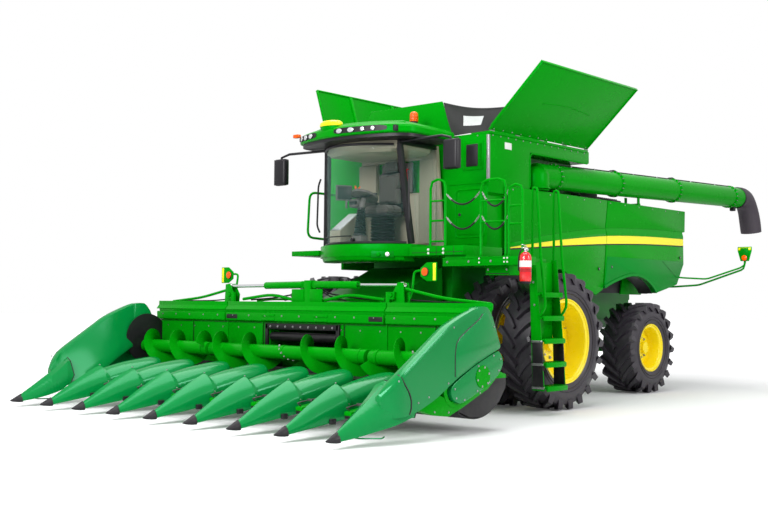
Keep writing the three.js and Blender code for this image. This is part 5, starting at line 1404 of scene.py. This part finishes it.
block(column, (-0.20, -0.10), (-1.80, -1.66), (2.285, 2.31), 0.006, Matrix.Rotation(0.4, 4, "X"))
block(column, (0.10, 0.20), (-1.80, -1.66), (2.285, 2.31), 0.006, Matrix.Rotation(0.4, 4, "X"))
block(dark, (-0.78, 0.78), (-1.50, -0.82), (2.281, 2.292), 0.004)
loft(trim_bm, [[(x, -1.52, 2.295), (x, -1.52, 2.52), (x, -1.12, 2.80), (x, -1.06, 2.80), (x, -1.06, 2.295)]
               for x in (-0.72, -0.50)])
loft(pale, [[(x, -1.512, 2.528), (x, -1.500, 2.542), (x, -1.13, 2.801), (x, -1.12, 2.795)]
            for x in (-0.705, -0.515)])
rod(orange, (-0.365, -1.33, 3.135), (-0.385, -1.335, 3.185), 0.017, 0.012, sides=14)
rod(orange, (-0.335, -1.32, 3.135), (-0.315, -1.30, 3.175), 0.010, sides=12)
place("cab_interior", "machine", "cab_trim", (trim_bm, trim), (dark, trim_dark), (red, red_enamel),
      (column, moulded), (screen, black_paint), (pale, clear_lens), (orange, amber), sharp=40)

# deeper cover below the windscreen, with a horn and a working lamp in its left end
cover, dark, horn, lens = shapes(4)
loft(cover, [[(x, y + lean, z) for x, y in [*bow(0.80, -1.60, 0.395), (0.80, -1.40), (-0.80, -1.40)]] for z,
             lean in ((2.045, 0.060), (2.060, 0.030), (2.105, 0.008), (2.20, 0.0), (2.235, 0.004),
                      (2.245, 0.02))])
# recess round the horn and lamp in the darker green, which is painted shade
block(dark, (0.42, 0.74), (-1.797, -1.767), (2.085, 2.185), 0.012, tilt(35, "Z"))
rod(horn, (0.525, -1.80, 2.135), (0.553, -1.848, 2.135), 0.036, 0.030, sides=28, lip=0.005)
rod(lens, (0.635, -1.73, 2.135), (0.660, -1.773, 2.135), 0.032, sides=28, lip=0.005)
place("cab_front_cover", "machine", "green_paint", (cover, paint), (dark, shaded_dusty_frame_paint), (horn, paint),
      (lens, clear_lens), sharp=40)

# rounded seat on its bellows
seat_base = new()
bellows = [(0.0, 0.0), (0.0, 0.19)]
for k in range(9):
    bellows += [(0.02 + k * 0.045, 0.19), (0.0425 + k * 0.045, 0.165)]
bellows += [(0.43, 0.18), (0.44, 0.0)]
turned(seat_base, bellows, (0, -1.14, 2.285), 40, (0, 0, 1))
block(seat_base, (-0.24, 0.24), (-1.33, -0.96), (2.715, 2.765), 0.015)
block(seat_base, (-0.225, 0.225), (-0.945, -0.905), (2.80, 3.40), 0.03)
block(seat_base, (-0.40, -0.27), (-1.45, -1.00), (2.90, 2.955), 0.02)
rod(seat_base, (-0.25, -1.12, 2.75), (-0.25, -0.98, 2.95), 0.02, sides=12)
place("seat_base", "machine", "black_plastic", (seat_base, moulded), replaces=["operator_seat"], sharp=40)


def cushion(name, x, y, z, puff):
    """A cushion blown up slightly inside its cover."""
    bm = new()
    block(bm, x, y, z, 0.035, segments=3)
    bmesh.ops.subdivide_edges(bm, edges=[e for e in bm.edges if e.calc_length() > 0.08], cuts=6,
                              use_grid_fill=True)
    piece = place(name, "machine", "black_plastic", (bm, seat_cloth), sharp=180)
    rest = [v.co.copy() for v in piece.data.vertices]
    remesh = piece.modifiers.new("remesh", "REMESH")
    remesh.mode, remesh.voxel_size = "VOXEL", 0.008
    blown = piece.modifiers.new("cloth", "CLOTH")
    blown.settings.use_pressure = True
    blown.settings.uniform_pressure_force = puff
    blown.settings.effector_weights.gravity = 0
    blown.settings.quality = 5
    blown.point_cache.frame_start, blown.point_cache.frame_end = 1, 16
    for frame_number in range(1, 17):
        scene.frame_set(frame_number)
    graph = bpy.context.evaluated_depsgraph_get()
    puffed = bpy.data.meshes.new_from_object(piece.evaluated_get(graph))
    piece.modifiers.clear()
    low, high = Vector(map(min, zip(*rest))), Vector(map(max, zip(*rest)))
    for vert in puffed.vertices:  # the cover's seams hold each side near its block
        vert.co = Vector([max(a - 0.022, min(b + 0.022, c)) for a, b, c in zip(low, high, vert.co)])
    puffed.polygons.foreach_set("use_smooth", [True] * len(puffed.polygons))
    piece.data = puffed
    scene.frame_set(1)
    return piece


cushion("seat_cushion", (-0.235, 0.235), (-1.32, -0.96), (2.765, 2.865), 4.0)
cushion("seat_back", (-0.215, 0.215), (-1.03, -0.945), (2.90, 3.38), 4.0)
cushion("head_rest", (-0.13, 0.13), (-1.00, -0.93), (3.40, 3.55), 4.0)
piping = new()
for z in (2.80, 2.83):
    tube(piping, rounded([(-0.23, -1.31, z), (0.23, -1.31, z), (0.23, -0.97, z), (-0.23, -0.97, z),
                          (-0.23, -1.31, z)], 0.04, 4), 0.004, 0, 6)
place("seat_piping", "machine", "black_plastic", (piping, trim_dark), sharp=60)

# frame dressing: mirrors, seals, wiper, grab rails
dark, grey = shapes(2)
refine("cab_frame", moulded, 0.014)
for sign in (-1, 1):
    x = span(sign, 1.555, 1.805)
    block(dark, x, (-1.685, -1.575), (3.250, 3.660), 0.042, segments=4)
    block(grey, (x[0] + 0.02, x[1] - 0.02), (-1.578, -1.570), (3.28, 3.63), 0.003)
    block(grey, (x[0] + 0.02, x[1] - 0.02), (-1.579, -1.568), (3.38, 3.39), 0.002)
    tube(dark, [(sign * 0.86, -1.58, 3.30), (sign * 0.89, -1.60, 3.20), (sign * 0.91, -1.60, 2.60),
                (sign * 0.88, -1.57, 2.50)], 0.014, 0.05, 8)
seal = [(x * 0.985, y, z) for (x, y), z in zip(bow(0.80, -1.515, 0.425), [2.300] * 25)]
tube(dark, seal, 0.022, 0, 8)
tube(dark, [(x, y, 3.675) for x, y in bow(0.665, -1.66, 0.365)], 0.018, 0, 8)
tube(dark, [(x, -1.985 + 0.60 * x * x, 2.395) for x in (0.15, 0.0, -0.15, -0.30, -0.45)], 0.009, 0, 8)
rod(dark, (0.15, -1.96, 2.345), (0.15, -1.90, 2.345), 0.022, sides=16)
place("cab_dressing", "machine", "black_plastic", (dark, moulded), (grey, chrome), sharp=40)

# ---- platform, rails and chains ----

RAIL_Y = -1.54
RAIL_POSTS = (1.24, 1.50, 2.10, 2.50, 2.55, 2.76)


def hanging(start, end, sag, steps=16):
    """A line that sags between two points."""
    start, end = Vector(start), Vector(end)
    return [start.lerp(end, i / steps) - Vector((0, 0, sag * 4 * (i / steps) * (1 - i / steps)))
            for i in range(steps + 1)]


def link(bm, at, way, turn):
    """One oval chain link lying along a way."""
    axes = ring_matrix(at, way) @ Matrix.Rotation(turn, 4, "Z")
    points = []
    for k in range(11):
        angle = 2 * math.pi * k / 10
        points.append(axes @ Vector((0.011 * math.cos(angle), 0, 0.020 * math.sin(angle))))
    tube(bm, points, 0.0032, 0, 5)


def chain(sleeve, links, start, end, sag):
    """A safety chain: bare links near its hooks, the rest in a ribbed sleeve."""
    points = hanging(start, end, sag, 20)
    for run in (points[:4], points[-4:]):
        for a, b in zip(run, run[1:]):
            for k in range(2):
                link(links, a.lerp(b, k / 2 + 0.25), b - a, k * math.pi / 2)
    tube(sleeve, points[3:-3], 0.012, 0, 8)
    for a, b in zip(points[3:-3], points[4:-3]):
        rod(sleeve, a.lerp(b, 0.30), a.lerp(b, 0.62), 0.0145, sides=8)


def tread_bars(bm, along_x, along_y, z, half):
    """Raised bars laid crosswise over a walking surface: first bar, how many and how far apart."""
    for i in range(along_x[1]):
        for j in range(along_y[1]):
            x, y = along_x[0] + i * along_x[2], along_y[0] + j * along_y[2]
            block(bm, about(x, half), about(y, 0.007), z, 0, tilt(45 if (i + j) % 2 else -45, "Z"))


sleeve, links, bolts, dark, bright, white_bm = shapes(6)
for x0, x1, z, sag in ((1.52, 2.08, 2.93, 0.15), (1.52, 2.08, 2.62, 0.17), (2.12, 2.54, 2.92, 0.19),
                       (2.12, 2.54, 2.60, 0.17)):
    chain(sleeve, links, (x0, RAIL_Y, z), (x1, RAIL_Y, z), sag)
tube(sleeve, [(2.51, -1.52, 2.90), (2.515, -1.50, 2.70), (2.51, -1.49, 2.35), (2.50, -1.50, 2.10)], 0.010,
     0.1, 8)
for x in RAIL_POSTS:
    foot = 2.17 if x < 1.8 else 2.03
    for z in (foot - 0.03, foot + 0.02):
        bolt(white_bm, (x, -1.583 if x < 1.8 else -1.568, z), (0, -1, 0), 0.012, 0.010)
    block(bright, about(x, 0.028), (-1.572, -1.556), (foot - 0.06, foot + 0.05), 0.004)
    rod(bright, (x, RAIL_Y, foot + 0.06), (x, RAIL_Y, foot + 0.075), 0.023, sides=16)
# treads on the deck, toe board and seams along the fascia
tread_bars(bright, (0.99, 10, 0.09), (-1.50, 9, 0.09), (2.234, 2.240), 0.030)
block(dark, (0.945, 1.835), (-1.582, -1.579), (2.148, 2.154), 0)
for x in (1.38, 1.68):
    block(dark, about(x, 0.003), (-1.582, -1.579), (2.115, 2.23), 0)
for x in (1.56, 1.92, 2.28):
    bolt(bolts, (x, -1.567, 2.015), (0, -1, 0), 0.011, 0.008)
block(bright, (1.48, 2.46), (-1.572, -1.560), (2.055, 2.072), 0.003)
block(bright, (1.48, 2.46), (-1.572, -1.560), (1.958, 1.975), 0.003)
# rail on the machine's far side
tube(bright, [(-1.26, -0.69, 3.14), (-1.26, -1.42, 3.14), (-1.26, -1.46, 2.45), (-1.26, -0.69, 2.42)], 0.019,
     0.12, 12)
block(bright, (-1.50, -0.91), (-1.56, -0.72), (2.16, 2.235), 0.006)
block(dark, (2.06, 2.44), (-1.385, -1.375), (1.852, 1.862), 0)
for x in (2.10, 2.40):
    bolt(bolts, (x, -1.381, 1.91), (0, -1, 0), 0.010, 0.007)
place("platform_fittings", "machine", "green_paint", (bright, paint), (dark, black_paint), (bolts, steel),
      (white_bm, white_film))
place("rail_chains", "machine", "bare_steel", (sleeve, moulded), (links, steel))

# ---- fire extinguisher ----

red, dark, metal, label = shapes(4)
EXT = (2.865, -1.625)


def spun(bm, profile):
    turned(bm, profile, (*EXT, 0), 40, (0, 0, 1))


spun(red, [(1.735, 0.0), (1.735, 0.055), (1.745, 0.070), (1.76, 0.075), (2.045, 0.075), (2.075, 0.068),
           (2.10, 0.050), (2.115, 0.030), (2.12, 0.0)])
spun(label, [(1.925, 0.0745), (1.925, 0.0760), (2.005, 0.0760), (2.005, 0.0745), (1.925, 0.0745)])
spun(dark, [(1.718, 0.0), (1.718, 0.066), (1.728, 0.071), (1.745, 0.071), (1.745, 0.0)])
for z in (1.87, 1.893):
    spun(dark, [(z, 0.0752), (z, 0.0772), (z + 0.008, 0.0772), (z + 0.008, 0.0752), (z, 0.0752)])
rod(metal, (*EXT, 2.115), (*EXT, 2.165), 0.020, sides=20, lip=0.004)
block(metal, about(EXT[0], 0.018), (EXT[1] - 0.07, EXT[1] + 0.02), (2.160, 2.174), 0.003)
block(metal, about(EXT[0], 0.014), (EXT[1] - 0.08, EXT[1] + 0.015), (2.19, 2.200), 0.003,
      tilt(-12, "X"))
rod(metal, (EXT[0] + 0.02, EXT[1], 2.145), (EXT[0] + 0.035, EXT[1], 2.145), 0.016, sides=16)
block(dark, (EXT[0] - 0.09, EXT[0] - 0.068), (EXT[1] - 0.02, EXT[1] + 0.06), (1.86, 2.05), 0.006)
block(dark, (EXT[0] - 0.10, EXT[0] - 0.06), (EXT[1] + 0.03, EXT[1] + 0.07), (1.98, 2.05), 0.004)
tube(dark, [(EXT[0] - 0.02, EXT[1] - 0.01, 2.15), (EXT[0] - 0.05, EXT[1] - 0.03, 2.14),
            (EXT[0] - 0.083, EXT[1] - 0.03, 2.06), (EXT[0] - 0.086, EXT[1] - 0.03, 1.88)], 0.009, 0.03, 8)
place("extinguisher", "machine", "bare_steel", (red, red_enamel), (dark, moulded), (metal, chrome),
      (label, white_film))

# ---- ladder ----

STEP_Y = (-0.955, -0.475)  # the steps' reach between the ladder's stringers
rubber, clamps, treads, bolts = shapes(4)
for y0, y1, y_out in ((-0.978, -0.957, -1), (-0.473, -0.452, 1)):
    plate(rubber, "y", [(2.530, 0.345), (2.706, 0.345), (2.672, 0.965), (2.520, 0.965)], y0, y1, 0.004)
    for z in (0.352, 0.655, 0.955):
        share = (z - 0.33) / 0.93
        block(clamps, (2.522 - 0.012 * share, 2.715 - 0.050 * share), sorted((y0 - 0.004, y1 + 0.004)),
              (z, z + 0.030), 0.003)
        for x in (2.55, 2.60, 2.65):
            bolt(bolts, (x, y0 - 0.004 if y_out < 0 else y1 + 0.004, z + 0.015), (0, y_out, 0), 0.008, 0.005)
for z in (0.36, 0.67, 0.98, 1.28, 1.59):
    reach = 2.74 - z * 0.06
    block(treads, (2.52, reach + 0.035), STEP_Y, (z + 0.004, z + 0.026), 0.008)
    block(treads, (reach + 0.010, reach + 0.038), STEP_Y, (z - 0.040, z + 0.020), 0.008)
    for k in range(9):
        y = -0.93 + k * 0.054
        block(treads, (2.55, reach + 0.020), (y, y + 0.012), (z + 0.024, z + 0.032), 0, segments=1)
block(treads, (2.500, 2.512), STEP_Y, (0.99, 2.02), 0.004)
for y in (-0.968, -0.462):
    for z, x in ((2.02, 2.50), (1.75, 2.51), (1.45, 2.53)):
        bolt(bolts, (x + 0.03, y - 0.008 if y < -0.7 else y + 0.008, z), (0, -1 if y < -0.7 else 1, 0), 0.010,
             0.007)
place("ladder_treads", "ladder", "green_paint", (treads, paint), (rubber, moulded), (clamps, steel),
      (bolts, steel))

# ---- marker lamps ----

MARKERS = (  # post, its radius and bend; board, its faces; strip; lamp's place and radius on either face
    ("front", [(1.72, -2.56, 1.455), (1.72, -2.47, 1.60), (1.72, -2.43, 1.86), (1.80, -2.42, 1.875),
               (1.88, -2.42, 1.865)], 0.016, 0.06,
     [(1.825, 1.800), (1.825, 1.905), (1.93, 1.975), (2.092, 1.975), (2.092, 1.738), (1.93, 1.738)],
     (-2.440, -2.425), ((2.035, 2.080), (-2.4435, -2.438), (1.748, 1.965)), (1.911, 1.857), (0.052, 0.045)),
    ("rear", [(1.50, 4.78, 1.985), (1.66, 4.90, 1.95), (2.10, 5.00, 1.925), (2.72, 5.00, 2.115),
              (2.80, 5.00, 2.17), (2.80, 5.00, 2.29)], 0.015, 0.07,
     [(2.675, 2.47), (2.925, 2.47), (2.925, 2.40), (2.875, 2.225), (2.725, 2.225), (2.675, 2.40)],
     (4.975, 4.99), ((2.690, 2.910), (4.971, 4.977), (2.412, 2.456)), (2.80, 2.280), (0.048, 0.048)),
)
for side, sign in SIDES:
    for end, post, radius, bend, board, faces, reflector, (lamp_x, lamp_z), lamp_radii in MARKERS:
        bright, lamp, strip, dark = shapes(4)
        tube(bright, mirrored(post, sign), radius, bend, 10)
        plate(bright, "y", mirrored(board, sign), *faces, 0.006)
        block(strip, span(sign, *reflector[0]), *reflector[1:], 0.002)
        for y, way_y, r in zip(faces, (-1, 1), lamp_radii):
            spot, way = Vector((sign * lamp_x, y, lamp_z)), Vector((0, way_y, 0))
            rod(dark, spot, spot + way * 0.010, r + 0.006, sides=28, lip=0.003)
            rod(lamp, spot + way * 0.008, spot + way * 0.022, r, sides=28, lip=0.006)
        place(f"{end}_marker_{side}", f"{side}_wing" if end == "front" else "machine", "green_paint",
              (bright, paint), (lamp, amber), (strip, stripe_yellow), (dark, moulded))

# ---- tail ----

bright, dark, lamp, metal = shapes(4)
rod(bright, (1.12, 4.40, 1.255), (1.12, 5.22, 1.255), 0.013, sides=12, lip=0.004)
for sign in (-1, 1):  # wheelhouse walls over the rear tyres, above where they steer
    block(dark, span(sign, 1.155, 1.165), (2.10, 4.60), (1.66, 2.60), 0.003)
    plate(bright, "x", [(2.30, 1.62), (2.75, 1.62), (3.10, 2.05), (3.10, 2.45), (2.30, 2.45)],
          *span(sign, 1.17, 1.19), 0.006)
    plate(bright, "x", [(3.60, 1.64), (4.30, 1.64), (4.62, 1.90), (4.62, 2.40), (3.80, 2.40)],
          *span(sign, 1.17, 1.20), 0.006)
    tube(dark, [(sign * 1.21, 2.6, 1.95), (sign * 1.22, 3.1, 2.02), (sign * 1.22, 3.9, 1.98),
                (sign * 1.21, 4.5, 1.80)], 0.018, 0.2, 8)
for k in range(14):  # louvred grille across the tail
    z = 2.80 + k * 0.022
    block(dark, (-0.80, 0.80), (5.128, 5.150), (z, z + 0.009), 0.002, tilt(24, "X"), 1)
block(dark, (-0.86, 0.86), (5.120, 5.134), (2.785, 3.115), 0.008)
for sign in (-1, 1):
    block(dark, span(sign, 1.12, 1.48), (5.022, 5.045), (2.44, 2.60), 0.012)
    for k, x in enumerate((1.20, 1.30, 1.40)):
        rod(lamp, (sign * x, 5.04, 2.52), (sign * x, 5.056, 2.52), 0.042, sides=28, lip=0.005)
    tube(bright, [(sign * 0.20, 5.03, 2.26), (sign * 0.20, 5.10, 2.26), (sign * 0.20, 5.10, 2.60),
                  (sign * 0.20, 5.03, 2.60)], 0.014, 0.05, 10)
block(bright, (-1.30, 1.30), (5.025, 5.035), (2.235, 2.250), 0.003)
block(bright, (-1.30, 1.30), (5.020, 5.030), (2.640, 2.655), 0.003)
for k in range(6):
    bolt(metal, (-1.25 + k * 0.5, 5.036, 2.243), (0, 1, 0), 0.010, 0.007)
# roof of the engine bay: walkway, intake screen housing and cleats
block(bright, (-1.45, -0.75), (2.10, 4.90), (3.130, 3.145), 0.004)
tread_bars(bright, (-1.38, 5, 0.14), (2.2, 24, 0.112), (3.144, 3.150), 0.035)
tube(bright, [(-1.47, 2.3, 3.12), (-1.47, 2.3, 3.62), (-1.47, 4.8, 3.62), (-1.47, 4.8, 3.12)], 0.018, 0.12,
     12)
tube(bright, [(-1.47, 2.3, 3.38), (-1.47, 4.8, 3.38)], 0.014, 0, 10)
rod(bright, (-1.47, 3.55, 3.12), (-1.47, 3.55, 3.62), 0.016, sides=12)
turned(dark, [(3.13, 0.0), (3.13, 0.24), (3.30, 0.24), (3.33, 0.22), (3.34, 0.0)], (*CANISTER, 0), 40,
       (0, 0, 1))
for angle in turns(24):
    block(metal, about(CANISTER[0] + 0.243 * math.cos(angle), 0.004),
          about(CANISTER[1] + 0.243 * math.sin(angle), 0.004), (3.15, 3.29), 0)
place("tail_fittings", "machine", "green_paint", (bright, paint), (dark, moulded), (lamp, red_enamel),
      (metal, steel))

# ---- covers of the grain tank ----

for side, sign, width, rise in (("left", 1, 1.230, 43), ("right", -1, 1.040, 72)):
    angle = math.radians(rise)
    out, up = (sign * math.cos(angle), math.sin(angle)), (-sign * math.sin(angle), math.cos(angle))

    def at(reach, lift):
        return sign * 1.584 + out[0] * reach + up[0] * lift, 3.910 + out[1] * reach + up[1] * lift

    def folded(near_in, far, low, high):
        return [at(near_in, low), at(far, low), at(far, high), at(near_in, high)]

    skin, inner, bolts = shapes(3)
    for y0, y1 in ((-0.683, -0.669), (1.876, 1.890)):  # folded edges
        plate(skin, "y", folded(0.0, width, -0.012, 0.016), y0, y1, 0.003)
    plate(skin, "y", folded(width - 0.012, width + 0.002, -0.014, 0.032),
          -0.683, 1.890, 0.003)
    bead = [(at(reach, -0.001), y) for reach, y in ((0.60, 0.0), (0.66, 0.6), (0.60, 1.25))]
    tube(skin, [(x, y, z) for (x, z), y in bead], 0.006, 0.5, 6)
    for share in (0.3, 0.7):  # hat sections on the inside
        y = -0.685 + share * 2.575
        plate(inner, "y", [at(0.05, 0.012), at(width - 0.02, 0.012), at(width - 0.03, 0.045),
                           at(0.07, 0.045)], y - 0.028, y + 0.028, 0.006)
    plate(inner, "y", folded(0.02, 0.06, 0.010, 0.030), -0.665, 1.870, 0.004)
    for k in range(12):
        spot = at(0.03, -0.004)
        bolt(bolts, (spot[0], -0.60 + k * 0.22, spot[1]), (-up[0], 0, -up[1]), 0.007, 0.004)
    for k in range(5):
        y = -0.62 + k * 0.62
        rod(bolts, (sign * 1.592, y - 0.05, 3.900), (sign * 1.592, y + 0.05, 3.900), 0.011, sides=12)
    place(f"tank_cover_{side}_edges", f"tank_cover_{side}", "green_paint", (skin, paint), (inner, paint),
          (bolts, steel))

# ---- studio ----

FLOOR_HALF, FLOOR_GAP = 90, 0.002  # the floor's half size, and its gap below the tyres
SHADOW_END, WHITE_FROM = 5.0, 14.0  # distances from the middle between which the floor turns plain white

floor = bpy.data.meshes.new("studio_floor")
bm = new()
bmesh.ops.create_grid(bm, x_segments=1, y_segments=1, size=FLOOR_HALF)
bm.to_mesh(floor)
bm.free()
floor = bpy.data.objects.new("studio_floor", floor)
floor.location.z = -FLOOR_GAP
scene.collection.objects.link(floor)
floor_white, tree, shader = surface("floor_white")
shader.inputs["Base Color"].default_value = (0.82, 0.82, 0.83, 1)
shader.inputs["Roughness"].default_value = 0.9
shader.inputs["Emission Color"].default_value = (1, 1, 1, 1)
seen = tree.node("ShaderNodeLightPath").outputs["Is Camera Ray"]
spot = tree.node("ShaderNodeTexCoord").outputs["Object"]
reach = tree.node("ShaderNodeVectorMath", {"operation": "LENGTH"}, **{"0": spot}).outputs["Value"]
backdrop = tree.ramp(reach, SHADOW_END, WHITE_FROM, 0.04, 1.0)
tree.feed(shader, "Emission Strength", tree.maths("MULTIPLY", seen, backdrop))
floor.data.materials.append(floor_white)

world = bpy.data.worlds.new("studio")
scene.world = world
world.use_nodes = True
tree = Tree(world.node_tree)
sky = world.node_tree.nodes["Background"]
path = tree.node("ShaderNodeLightPath").outputs
seen = tree.maths("ADD", path["Is Camera Ray"], path["Is Transmission Ray"])
mirrored_sky = tree.maths("MULTIPLY", path["Is Glossy Ray"], 0.4)
tree.feed(sky, "Color", (1, 1, 1, 1))
tree.feed(sky, "Strength", tree.maths("ADD", tree.ramp(seen, 0.0, 1.0, 0.45, 1.0), mirrored_sky))


def softbox(name, at, aim, size, power):
    """A rectangular light turned towards a point."""
    lamp = bpy.data.objects.new(name, bpy.data.lights.new(name, "AREA"))
    lamp.data.shape = "RECTANGLE"
    lamp.data.size, lamp.data.size_y = size
    lamp.data.energy = power
    lamp.location = at
    lamp.rotation_mode = "QUATERNION"
    lamp.rotation_quaternion = (Vector(aim) - Vector(at)).to_track_quat("-Z", "Y")
    scene.collection.objects.link(lamp)


softbox("overhead", (1, -2, 12), (0, -1, 0), (9, 12), 1250)
softbox("key", (14, 0, 7), (0, 0, 1.5), (5, 5), 760)
softbox("front", (3, -16, 7), (0, -2, 1.5), (7, 5), 1500)
